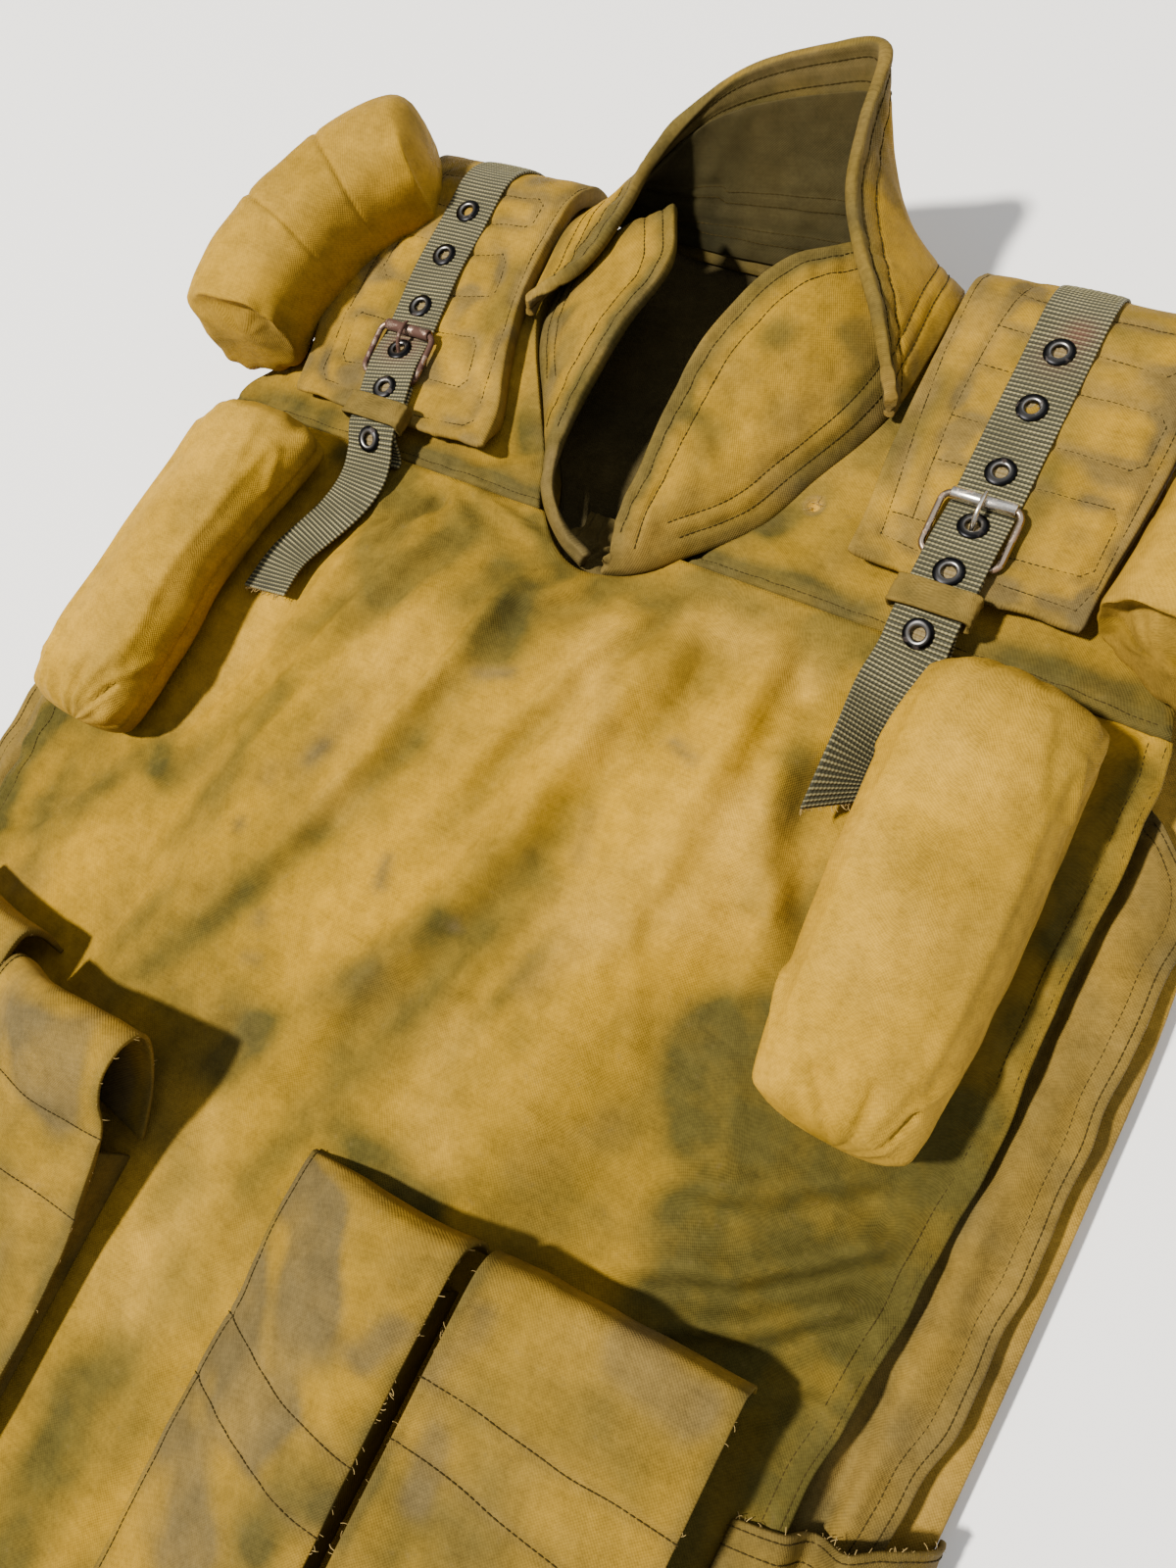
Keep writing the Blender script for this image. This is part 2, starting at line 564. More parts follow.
GREY_STROKES = (
    (-16, 20, 1, 26, 3, 0.7), (90, -46, 70, -82, 8, 0.35), (-9, -64, -5, -76, 4, 0.9),
    (75, 27, 88, 22, 3, 0.7), (-81, -53, -80, -60, 5, 0.6), (-62, -35, -66, -44, 5, 0.6),
    (-82, -80, -80, -83, 3, 1.0), (-48, -108, -46, -112, 4, 0.6), (-45, -127, -38, -125, 3, 0.6),
    (32, -74, 33, -76, 2.2, 0.8), (10, -105, -8, -125, 9, 0.3), (40, 40, 52, 20, 6, 0.35),
    (-60, -20, -70, -50, 9, 0.3), (-30, -150, -60, -230, 15, 0.3), (120, -110, 100, -140, 9, 0.3),
    (-170, -150, -200, -158, 10, 0.4), (60, -12, 64, -30, 5, 0.35),
)
PALE_STROKES = (
    (58, 80, 108, 72, 12, 0.5), (110, 5, 84, -60, 26, 0.4),
    (20, 60, 44, 10, 14, 0.35), (-30, -190, -20, -260, 22, 0.35), (-60, 10, -40, -60, 18, 0.3),
    (40, -100, 70, -150, 20, 0.3), (-140, 20, -150, -60, 10, 0.3),
)


def front_soil(x, y):
    """Olive, grey and bleached shares over the front section."""
    seed = 5
    across, along = 0.94 * x - 0.34 * y, 0.34 * x + 0.94 * y
    streaks = 0.2 * hills(across, along / 5, 12, seed + 6) + 0.14 * hills(across, along / 4, 27, seed + 7)
    olive = strokes(x, y, OLIVE_STROKES, 0.5, seed) + 0.16 * hills(x, y, 55, seed + 1) + streaks
    olive += 0.34 * fold_relief(x, y)[1] + 0.3 * smooth(-80, -170, y) * (1 - smooth(120, 170, np.abs(x)))
    grey = strokes(x, y, GREY_STROKES, 0.6, seed + 2) + 0.1 * hills(x, y, 24, seed + 3)
    pale = strokes(x, y, PALE_STROKES, 0.6, seed + 4) + 0.1 * hills(x, y, 40, seed + 5)
    low_down = ridge(y + 100, 65)
    return np.stack([olive + 0.15 * low_down, grey, pale + 0.08 - 0.3 * low_down], axis=-1)


def edge_soil(grid, olive=0.5, grey=0.2, wide=9.0, seed=9, base=(0.1, 0.08, 0.1)):
    """Soil that gathers along the four edges of a panel."""
    place = flat_map_of(grid)
    u, v = place[..., 0], place[..., 1]
    inside = np.minimum(np.minimum(u - u[:, :1], u[:, -1:] - u), np.minimum(v - v[:1], v[-1:] - v))
    rubbed = ridge(inside, wide)
    rough = 0.75 + 0.5 * hills(u, v, 11, seed)
    dirt = hills(u, v, 30, seed + 1)
    return np.stack([base[0] + olive * rubbed * rough + 0.14 * dirt,
                     base[1] + grey * rubbed * rough + 0.12 * hills(u, v, 19, seed + 2),
                     base[2] + 0.16 * hills(u, v, 26, seed + 3)], axis=-1)


# %% [markdown]
# ## Sewing
# A stitched row is a line of short threads sunk into the cloth. The rows' routes are read from the same
# surfaces as the cloth, and one Geometry Nodes tree turns all of them into threads: it divides each route
# evenly, and puts a thread along it at each point. Frayed edges use the same idea, with long thin threads
# that stand away from the edge.

# %% Geometry Nodes helpers
def geometry_tree(name, sockets):
    tree = bpy.data.node_groups.new(name, "GeometryNodeTree")
    tree.interface.new_socket(name="Geometry", in_out="INPUT", socket_type="NodeSocketGeometry")
    for socket_name, kind in sockets:
        tree.interface.new_socket(name=socket_name, in_out="INPUT", socket_type=kind)
    tree.interface.new_socket(name="Geometry", in_out="OUTPUT", socket_type="NodeSocketGeometry")
    start = tree.nodes.new("NodeGroupInput")
    end = tree.nodes.new("NodeGroupOutput")
    return tree, start, end


def grown(name, tree, source, values):
    """Runs a tree on a mesh and keeps its result as a plain mesh of its own."""
    modifier = source.modifiers.new("grow", "NODES")
    modifier.node_group = tree
    for socket in tree.interface.items_tree:
        if socket.in_out == "INPUT" and socket.name in values:
            modifier[socket.identifier] = values[socket.name]
    evaluated = source.evaluated_get(bpy.context.evaluated_depsgraph_get())
    mesh = bpy.data.meshes.new_from_object(evaluated)
    source.modifiers.remove(modifier)
    bpy.data.objects.remove(source)
    mesh.name = name
    mesh.shade_smooth()
    return linked(name, mesh)


def route_object(name, routes):
    """Routes, each a list of points in millimetres, as one mesh of edges."""
    points = []
    edges = []
    for route in routes:
        first = len(points)
        points += world(route).tolist()
        edges += [(first + k, first + k + 1) for k in range(len(route) - 1)]
    mesh = bpy.data.meshes.new(name)
    mesh.from_pydata(points, edges, [])
    return linked(name, mesh)


def point_object(name, places, attribute, ways):
    """Bare points, each with a direction that a tree reads."""
    mesh = bpy.data.meshes.new(name)
    mesh.from_pydata(world(places).tolist(), [], [])
    layer = mesh.attributes.new(attribute, "FLOAT_VECTOR", "POINT")
    layer.data.foreach_set("vector", np.array(ways).ravel())
    return linked(name, mesh)


# %% Sewing tree
sewing, sewing_in, sewing_out = geometry_tree("sewing", (
    ("Pitch", "NodeSocketFloat"), ("Stitch Length", "NodeSocketFloat"), ("Thread Width", "NodeSocketFloat"),
    ("Seed", "NodeSocketInt"), ("Thread", "NodeSocketMaterial")))
curve_node = put(sewing, "GeometryNodeMeshToCurve", {"Mesh": sewing_in.outputs["Geometry"]})
resampled = put(sewing, "GeometryNodeResampleCurve", {"Curve": curve_node.outputs[0]})
resampled.mode = "LENGTH"
sewing.links.new(sewing_in.outputs["Pitch"], resampled.inputs["Length"])
tangent = put(sewing, "GeometryNodeInputTangent")
facing = put(sewing, "FunctionNodeAlignRotationToVector", {"Vector": tangent.outputs[0]}, axis="X")
uneven_size = put(sewing, "FunctionNodeRandomValue", data_type="FLOAT")
uneven_size.inputs[2].default_value = 0.82
uneven_size.inputs[3].default_value = 1.12
sewing.links.new(sewing_in.outputs["Seed"], uneven_size.inputs["Seed"])
half_long = put(sewing, "ShaderNodeMath", {0: sewing_in.outputs["Stitch Length"], 1: uneven_size.outputs[1]},
                operation="MULTIPLY")
thread_size = put(sewing, "ShaderNodeCombineXYZ",
                  {0: half_long.outputs[0], 1: sewing_in.outputs["Thread Width"],
                                                  2: sewing_in.outputs["Thread Width"]})
bead = put(sewing, "GeometryNodeMeshUVSphere", {"Segments": 6, "Rings": 4, "Radius": 0.5})
laid = put(sewing, "GeometryNodeInstanceOnPoints",
           {"Points": resampled.outputs[0], "Instance": bead.outputs[0],
                                                   "Rotation": facing.outputs[0],
            "Scale": thread_size.outputs[0]})
solid_threads = put(sewing, "GeometryNodeRealizeInstances", {0: laid.outputs[0]})
coloured = put(sewing, "GeometryNodeSetMaterial", {"Geometry": solid_threads.outputs[0],
                                                  "Material": sewing_in.outputs["Thread"]})
sewing.links.new(coloured.outputs[0], sewing_out.inputs[0])

STITCH = {"Pitch": 2.4 * MM, "Stitch Length": 2.6 * MM, "Thread Width": 0.58 * MM}
sewn_rows = []  # every stitched route of the vest


def sew(route):
    sewn_rows.append(np.asarray(route, float))


# %% Fray tree
fraying, fraying_in, fraying_out = geometry_tree("fraying", (
    ("Thread Length", "NodeSocketFloat"), ("Thread Width", "NodeSocketFloat"), ("Seed", "NodeSocketInt"),
    ("Thread", "NodeSocketMaterial")))
bent = put(fraying, "GeometryNodeCurveQuadraticBezier",
           {"Resolution": 5, "Start": (0, 0, -0.15), "Middle": (0.06, 0, 0.6), "End": (0.55, 0.1, 0.85)})
long_enough = put(fraying, "GeometryNodeTransform",
                  {"Geometry": bent.outputs[0], "Scale": fraying_in.outputs["Thread Length"]})
half_wide = sum_of(fraying, "MULTIPLY", fraying_in.outputs["Thread Width"], 0.5)
round_end = put(fraying, "GeometryNodeCurvePrimitiveCircle", {"Resolution": 4, "Radius": half_wide})
one_thread = put(fraying, "GeometryNodeCurveToMesh",
                 {"Curve": long_enough.outputs[0], "Profile Curve": round_end.outputs[0], "Fill Caps": True})
any_turn = put(fraying, "FunctionNodeRandomValue", {"Seed": fraying_in.outputs["Seed"]},
               data_type="FLOAT_VECTOR")
any_turn.inputs[0].default_value = (0, 0, 0)
any_turn.inputs[1].default_value = (0, 0, 2 * math.pi)
way_out = put(fraying, "GeometryNodeInputNamedAttribute", {"Name": "way_out"}, data_type="FLOAT_VECTOR")
leaning = put(fraying, "FunctionNodeAlignRotationToVector",
              {"Rotation": any_turn.outputs[0], "Vector": way_out.outputs[0]}, axis="Z")
any_size = put(fraying, "FunctionNodeRandomValue", {"Seed": fraying_in.outputs["Seed"]}, data_type="FLOAT")
any_size.inputs[2].default_value = 0.35
any_size.inputs[3].default_value = 1.4
hanging = put(fraying, "GeometryNodeInstanceOnPoints",
              {"Points": fraying_in.outputs["Geometry"], "Instance": one_thread.outputs[0],
               "Rotation": leaning.outputs[0], "Scale": any_size.outputs[1]})
real_frays = put(fraying, "GeometryNodeRealizeInstances", {0: hanging.outputs[0]})
fray_finish = put(fraying, "GeometryNodeSetMaterial", {"Geometry": real_frays.outputs[0],
                                                      "Material": fraying_in.outputs["Thread"]})
fraying.links.new(fray_finish.outputs[0], fraying_out.inputs[0])

FRAY_SIZES = {"Thread Length": 2.3 * MM, "Thread Width": 0.22 * MM}
fray_places, fray_ways = [], []


def fray(route, away, gap, seed, spread=0.45):
    """Loose threads at uneven places along an edge, standing away from it."""
    route = np.asarray(route, float)
    away = np.broadcast_to(np.asarray(away, float), route.shape)
    run = run_of(route)
    chance = np.random.default_rng(seed)
    stops = np.cumsum(chance.exponential(gap, int(run[-1] / gap) + 1))
    stops = stops[stops < run[-1]]
    for stop in stops:
        place = [np.interp(stop, run, route[:, axis]) for axis in range(3)]
        way = np.array([np.interp(stop, run, away[:, axis]) for axis in range(3)]) + chance.normal(0, spread,
                                                                                                   3)
        fray_places.append(place)
        fray_ways.append(way / np.linalg.norm(way))


# %% [markdown]
# ## Back section
# The back is the widest piece and lies flat underneath: soft armour and plates quilted into a cover. Little of
# it shows, the smooth band along each side, the inside at the neck, and its underside, so its grid is coarse.

# %% Back section
HEM_Y, YOKE_Y, BEND_Y, BEND_Z, BEND_R = -385, 103, 240, 31, 31
FLAP_THICK, BACK_THICK, NECK_HALF, TONGUE_Y = 9, 20, 97, 268
FRONT_LOW, FRONT_TOP, PLATE_RISE = 20.6, 46, 14
BACK_OUTLINE = table("y half", (HEM_Y, 262), (-300, 268), (-180, 272), (-60, 272.4), (20, 271), (70, 264),
                     (110, 247), (145, 223), (175, 207), (205, 201), (BEND_Y, 199))


def back_top(x, y):
    half = read(BACK_OUTLINE, "half", y)
    shoulder = smooth(150, 232, y) * smooth(76, NECK_HALF - 3, np.abs(x))
    edge = smooth(half - 45, half, np.abs(x)) * (1 - shoulder)
    return BACK_THICK - 8 * edge - (BACK_THICK - FLAP_THICK) * shoulder


across, along = np.meshgrid(spaced(-1, 1, 0.022), spaced(0, 1, 0.015))
back_row = mix(HEM_Y, BEND_Y - 0.4, along)
back_x = across * read(BACK_OUTLINE, "half", back_row)
tongue = np.where(np.abs(back_x) < NECK_HALF - 6, TONGUE_Y - BEND_Y, 0)
back_y = back_row + tongue * smooth(0.93, 1, along)
unevenness = 0.7 * hills(back_x, back_y, 42, 3) * (1 - smooth(190, 232, back_y))
face = np.stack([back_x, back_y, back_top(back_x, back_y) + unevenness - 0.5], axis=2)
back = np.stack([back_x, back_y, np.zeros_like(back_x)], axis=2)
back_section = panel("back_section", face, back, 1.5, edge_soil(face, 0.1, 0.3, 14, 21, (0.0, 0.8, 0.4)))
dressed(back_section, KHAKI, ["back_section"])
back_section.data.materials.append(LINING)
for polygon in back_section.data.polygons:
    middle = polygon.center
    if polygon.normal.z > 0.3 and abs(middle.x) < 0.17 and middle.y > 0.06:
        polygon.material_index = 1

# %% [markdown]
# ## Chest panel
# One panel of cloth is drawn over the breast plate, which lifts its middle. Soft folds run from the neck down
# and outwards, and short puckers stand where the pads and pouches are sewn on. They are ridges and troughs
# added to the panel's height. Outside the armour the cloth runs on as a thin hemmed margin that waves.

# %% Chest surface
FRONT_OUTLINE = table("y half", (HEM_Y, 226), (-300, 229), (-200, 230), (-140, 232), (-75, 238), (0, 237),
                      (50, 239), (YOKE_Y, 236))
CREASES = ((-44, 92, -205, -30, 15, 2.6), (-30, 70, -165, -120, 17, 3.0), (4, 66, -60, -130, 16, 2.4),
           (48, 84, 36, -120, 17, 2.6), (84, 88, 118, -60, 15, 2.6), (132, -92, 222, -136, 9, 2.4),
           (120, -122, 214, -152, 9, 2.2))
FINE_FOLDS = (
    (-96, 100, -74, 74, 3, -1.5), (-88, 102, -62, 80, 3, 1.4), (-116, 84, -96, 50, 3.4, 1.4),
    (-70, 96, -30, 84, 3, -1.2),
    (96, 96, 112, 62, 3.4, -1.3), (26, 62, 8, 20, 3, -1.2), (66, 60, 60, 18, 3.2, 1.2),
    (-40, 40, -60, -30, 3.4, -1.1),
    (10, -30, -14, -90, 3.6, 1.1), (60, -40, 40, -110, 3.4, 1.1), (100, 20, 92, -30, 3.2, -1.0),
    (-100, 20, -130, -40, 3.6, 1.2), (-20, -110, -44, -180, 3.6, -1.1), (84, -20, 116, -84, 3.6, 1.0),
    (58, 94, 80, 20, 5, -1.2), (134, 30, 140, -50, 4, 1.5), (-60, 96, -112, 60, 5, 1.2),
    (60, -30, 50, -150, 7, -0.8), (150, -70, 168, -112, 4, 1.4), (-150, -64, -190, -128, 4, 1.5),
    (206, -90, 228, -60, 4, -1.2), (-150, -86, -196, -108, 4, -1.5), (-158, -104, -214, -124, 4, 1.3),
    (-176, -112, -220, -140, 4, -1.4), (16, -164, 62, -150, 5, 1.2), (84, -160, 118, -150, 4, -1.1),
    (112, -190, 108, -360, 4, -1.0), (6, -180, 12, -360, 6, 1.3), (-20, -190, -16, -340, 6, -1.3),
    (-136, -180, -134, -350, 3, -1.0), (-226, -160, -190, -158, 5, -1.2), (212, -170, 226, -330, 5, 1.2),
    (-212, -170, -224, -330, 5, 1.2), (-80, -372, 60, -374, 5, 0.9),
)


FOLDS = (  # width, height and route of the folds that fan out from the neck
    (6.5, 2.6, ((19, 90), (-18, 57), (-22, 30), (-36, -14), (-52, -71), (-78, -127), (-100, -170))),
    (8.5, 3.0, ((61, 92), (55, 43), (42, 10), (35, -37), (26, -70), (6, -120), (-13, -164), (-30, -200))),
    (5.0, 1.8, ((45, 88), (30, 54), (17, 21), (1, -29), (-10, -66))),
    (4.2, 1.7, ((-8, 86), (-21, 63), (-23, 43), (-31, 17), (-39, -21), (-48, -51))),
    (2.6, 2.0, ((-88, 98), (-97, 69), (-102, 58))),
    (3.2, 1.6, ((-80, 103), (-46, 94), (-18, 87))),
    (8.0, 3.2, ((134, 70), (117, 34), (126, 0), (141, -22), (148, -48))),
    (7.0, 2.2, ((-104, 66), (-116, -8), (-140, -70), (-176, -120))),
    (6.0, 1.8, ((-70, 84), (-86, 20), (-118, -50), (-150, -112))),
    (6.0, 1.6, ((92, 90), (97, 40), (96, -20), (84, -90))),
    (5.0, 3.6, ((226, -94), (180, -132), (128, -158))),
    (4.5, 3.0, ((224, -118), (194, -144), (150, -172))),
    (4.0, 1.7, ((222, -146), (200, -164), (176, -180))),
    (5.0, 2.4, ((216, -76), (176, -104), (128, -128))),
)


def route_offsets(x, y, route):
    """Signed distance from a route of points, and the share of it that is left behind."""
    best = np.full(np.broadcast(x, y).shape, 1e9)
    side = np.zeros(best.shape)
    share = np.zeros(best.shape)
    count = len(route) - 1
    for k, ((x0, y0), (x1, y1)) in enumerate(zip(route[:-1], route[1:])):
        dx, dy = x1 - x0, y1 - y0
        long = math.hypot(dx, dy)
        t = np.clip(((x - x0) * dx + (y - y0) * dy) / long ** 2, 0, 1)
        off = np.hypot(x - x0 - t * dx, y - y0 - t * dy)
        nearer = off < best
        best = np.where(nearer, off, best)
        side = np.where(nearer, np.sign((x - x0) * dy - (y - y0) * dx), side)
        share = np.where(nearer, (k + t) / count, share)
    return best * side, share


def fold_relief(x, y):
    """Height of the fanned folds, and how deep in a trough each place lies."""
    relief = np.zeros(np.broadcast(x, y).shape)
    shadow = np.zeros(relief.shape)
    for wide, high, route in FOLDS:
        off, share = route_offsets(x, y, route)
        off = off + 1.6 * hills(x, y, 17, 36)
        fade = smooth(-0.02, 0.12, share) * (1 - smooth(0.6, 1.0, share))
        relief += 1.8 * high * fade * (ridge(off, wide) - 0.75 * ridge(off + 1.7 * wide, wide))
        shadow += fade * ridge(off + 1.5 * wide, 1.3 * wide) * min(1.0, high / 2)
    return relief, shadow


def margin_wave(x, y):
    return 2.2 * np.sin(y / 36 + np.sign(x)) + 0.9 * np.sin(y / 21 + 2 * np.sign(x))


def plain_crease(x, y, rows=CREASES):
    rise = 0
    for x0, y0, x1, y1, wide, high in rows:
        dx, dy = x1 - x0, y1 - y0
        long = math.hypot(dx, dy)
        t = ((x - x0) * dx + (y - y0) * dy) / long ** 2
        off = ((x - x0) * dy - (y - y0) * dx) / long
        fade = smooth(0, 0.2, t) * (1 - smooth(0.75, 1, t))
        rise = rise + high * fade * ridge(off, wide)
    return rise


def front_top(x, y):
    """The solid's height, which the pouches and rolls sit on."""
    away = np.abs(x)
    plate = (1 - smooth(85, 135, away)) * (1 - smooth(40, 98, y)) * (1 - 0.6 * smooth(-150, HEM_Y, y))
    flank = 7 * smooth(165, 215, away) + 2 * smooth(215, 238, away)
    loose = smooth(212, 236, away) * margin_wave(x, y) * smooth(YOKE_Y, YOKE_Y - 40, y)
    return FRONT_TOP + PLATE_RISE * plate - flank + loose + plain_crease(x, y)


def fine_top(x, y):
    """The same height with the cloth's finer folds."""
    fold = 1.4 * strokes(x, y, FINE_FOLDS, 0.3, 31) + fold_relief(x, y)[0]
    ripple = 0.35 * hills(x, y, 19, 32) + 0.14 * hills(x, y, 7, 33) + 0.5 * hills(x, y, 48, 34)
    calm = 1 - 0.8 * smooth(-6, 0, y - YOKE_Y)
    return front_top(x, y) - 0.8 * plain_crease(x, y, CREASES[-2:]) + (fold + ripple) * calm


def front_half(x, y):
    """Half the front's width, with the small waves of its soft hem."""
    return read(FRONT_OUTLINE, "half", y) + 1.5 * hills(y, 50 * np.sign(x), 19, 37) * smooth(YOKE_Y,
                                                                                             YOKE_Y - 20, y)


def hem_crumple(x, y):
    """Short slanting puckers along the soft margins."""
    along = 0.8 * np.sin(y / 8 + 2 * hills(y, x * 0, 22, 35)) * smooth(214, 236, np.abs(x))
    return along + 2.0 * hills(y + 0.7 * np.abs(x), 0.4 * x, 10, 38) * smooth(200, 228, np.abs(x))


# %% Chest panel
def notch(x):
    return 21 * np.maximum(0, 1 - (x / 35) ** 2)


MARGIN_IN, MARGIN_OUT, MARGIN_THICK = 205, 226, 2.6
HEM_ROWS = (1.6, 7.5)
half_columns = np.concatenate([spaced(0, MARGIN_IN, 2.7), spaced(MARGIN_IN, MARGIN_OUT, 1.75)[1:]])
columns = np.concatenate([-half_columns[:0:-1], half_columns])
rows = np.concatenate([[HEM_Y, HEM_Y + 1.5, HEM_Y + 3], spaced(HEM_Y + 6, 96, 3.0),
                       [98, 100.5, YOKE_Y - 0.2]])
grid_x, grid_y = np.meshgrid(columns, rows)
half = front_half(grid_x, grid_y)
share_out = (np.abs(grid_x) - MARGIN_IN) / (MARGIN_OUT - MARGIN_IN)
grid_x = np.where(share_out > 0, np.sign(grid_x) * mix(MARGIN_IN, half, share_out), grid_x)
grid_y = grid_y - notch(grid_x) * smooth(HEM_Y + 0.86 * (YOKE_Y - HEM_Y), YOKE_Y, grid_y)


def hem_shape(x, half_width):
    """A turned hem: a fuller roll at the edge, and the stitched dip inside it."""
    inside = half_width - np.abs(x)
    dip = ridge(inside - HEM_ROWS[1], 1.6) + 0.8 * ridge(inside - 1.2, 1.5)
    return 0.5 * ridge(inside - 4, 2.4) - 0.7 * dip


edge_half = front_half(grid_x, grid_y)
height = fine_top(grid_x, grid_y) + hem_shape(grid_x, edge_half)
height += hem_crumple(grid_x, grid_y)
away = np.abs(grid_x)
armour = mix(FRONT_LOW, FRONT_LOW + 6.6, smooth(172, 177, away))
margin_low = front_top(grid_x, grid_y) - MARGIN_THICK
low = np.where(away < 212, armour, mix(armour, margin_low, smooth(212, 217, away)))
face = np.stack([grid_x, grid_y, height], axis=2)
back = np.stack([grid_x, grid_y, np.minimum(low, height - 1.5)], axis=2)
soil = front_soil(grid_x, grid_y)
soil[..., 0] += 0.35 * ridge(edge_half - away, 9)
chest_panel = panel("front_chest_panel", face, back, 0.9, soil)
dressed(chest_panel, KHAKI, ["front_chest_panel"])


def on_chest(x, y, lift=0.0):
    x, y = np.broadcast_arrays(np.asarray(x, float), np.asarray(y, float))
    return np.stack([x, y, fine_top(x, y) + lift], axis=-1)


for side in (RIGHT, LEFT):
    for inset in HEM_ROWS:
        y = spaced(HEM_Y + 3, YOKE_Y - 3, 2.5)
        half = front_half(side + 0 * y, y)
        x = side * (half - inset)
        z = fine_top(x, y) + hem_shape(x, half) + hem_crumple(x, y) + 0.1
        sew(np.stack([x, y, z], axis=1))
for inset in (3.5, 9):
    x = spaced(-218, 218, 6)
    sew(on_chest(x, HEM_Y + inset + 0 * x, 0.1))

# %% [markdown]
# ## Side wings
# Two thin wings of the back section lie between the two sections and show as a crumpled layer with a hem.
# They are single sheets, waved along the edge, where no armour stiffens them.

# %% Side wings
WING_OUTLINE = table("y edge", (HEM_Y + 4, 250), (-300, 256), (-215, 253), (-178, 258), (-140, 263),
                     (-59, 265),
                     (20, 265), (58, 263), (84, 238))
WING_THICK = 4.5


def wing_edge(side, y):
    return read(WING_OUTLINE, "edge", y) + 1.3 * hills(y, 60 * side + 0 * y, 17, 45)


def wing_wave(x, y):
    return 1.7 * (1 + np.sin(y / 27 + 2 * np.sign(x))) + 0.8 * (1 + np.sin(y / 11))


def wing_low(x, y):
    """The wing's underside: it sinks towards the back section and waves outside the armour."""
    away = np.abs(x)
    return FRONT_LOW - 2.6 * smooth(236, 265, away) + wing_wave(x, y) * smooth(214, 244, away)


def wing_top(x, y, edge):
    """The wing's face: crumpled, pressed down beside the chest panel and thinner at its hem."""
    away = np.abs(x)
    crumple = 1.5 * hills(x * 1.4, y * 0.8, 17, 41) + 0.7 * hills(x, y * 0.6, 8, 42)
    gap_depth = np.clip(1.0 + 5.0 * np.abs(y + 90) / 80, 0, 6.5)
    crumple = crumple + 1.5 * hills(y - 0.8 * away, 0.5 * away, 13, 43)
    crumple = crumple - gap_depth * ridge(away - 238.5, 3.6)
    crumple = crumple + 3.6 * ridge(away - 246, 6) * ridge(y + 95, 70)
    dip = ridge(edge - away - 8, 1.6)
    thinner = 2.0 * smooth(edge - 14, edge, away)
    return wing_low(x, y) + WING_THICK - thinner + (crumple - 0.7 * dip) * smooth(MARGIN_IN, 236, away) - 0.4


for side, name in ((RIGHT, "right"), (LEFT, "left")):
    shares = np.concatenate([[0, 0.25], spaced(0.4, 1, 0.026)])
    v, u = np.meshgrid(spaced(HEM_Y + 4, 84, 2.6), shares, indexing="ij")
    edge = wing_edge(side, v)
    x = side * mix(179, edge, u)
    top = wing_top(x, v, edge)
    low = np.minimum(wing_low(x, v), top - 2.2)
    face = np.stack([x, v, top], axis=2)
    soil = edge_soil(face, 0.45, 0.15, 7, 44, (0.42, 0.62, 0.0))
    soil[..., 0] += 0.5 * (1 - smooth(238, 243, np.abs(x)))
    wing = panel(f"side_wing_{name}", face, np.stack([x, v, low], axis=2), 0.9, soil)
    dressed(wing, KHAKI, [f"side_wing_{name}"])
    y = spaced(HEM_Y + 6, 78, 2.5)
    edge = wing_edge(side, y)
    for inset in (2.5, 8):
        sew(np.stack([side * (edge - inset), y, wing_top(side * (edge - inset), y, edge) + 0.1], axis=1))

# %% [markdown]
# ## Yoke
# The upper front is sewn to the chest panel and frames the neck. The seam is topstitched, and the cloth
# puckers along it.

# %% Yoke
YOKE_EDGES = table("y right left outer", (YOKE_Y, 38, 38, 235), (117, 51, 44, 230), (128, 60.8, 49, 220),
                   (153, 72, 66, 202), (179, 84.5, 83, 202), (197, 90, 90.5, 196), (232, 91, 91, 184))
YOKE_FOLDS = ((60, 124, 92, 108, 4, 1.3), (70, 132, 98, 118, 4, -1.2), (84, 150, 100, 128, 5, 1.0),
              (-52, 120, -74, 110, 3, 1.4), (-58, 128, -78, 116, 3, -1.2), (-70, 104, -96, 116, 4, 1.2),
              (40, 108, 62, 104, 3, -1.0), (196, 106, 228, 112, 4, 1.2), (-200, 106, -226, 112, 4, -1.2))
YOKE_SOIL = ((92, 192, 88, 172, 9, 0.7), (62, 128, 78, 150, 7, 0.5), (44, 106, 120, 110, 6, 0.7),
             (130, 110, 225, 112, 7, 0.6), (-44, 108, -120, 108, 6, 0.6), (-56, 130, -66, 150, 8, 0.6),
             (-130, 110, -222, 112, 7, 0.5))
HOLE = {"x": 77, "y": 144, "radius": 2.4}
YOKE_BACK_Y, SEAM_IN = 232, 4


def yoke_top(x, y):
    away = np.abs(x)
    plain = FRONT_TOP + mix(0.3, 3.6, np.clip((y - YOKE_Y) / (YOKE_BACK_Y - YOKE_Y), 0, 1)) - 5 * smooth(186,
                                                                                                         225,
                                                                                                         away)
    pucker = 0.6 * np.sin(x / 2.6 + 3 * hills(x, y, 14, 52)) * ridge(y - YOKE_Y - SEAM_IN, 4)
    seam = -1.1 * ridge(y - YOKE_Y - SEAM_IN, 1.4) - 1.5 * ridge(y - YOKE_Y, 1.6)
    hole = -3.0 * ridge((x - HOLE["x"]) ** 2 + (y - HOLE["y"]) ** 2, HOLE["radius"] ** 2)
    folds = strokes(x, y, YOKE_FOLDS, 0.3, 53) + 0.5 * hills(x, y, 26, 54) + 0.15 * hills(x, y, 8, 55)
    return plain + pucker + seam + folds + hole


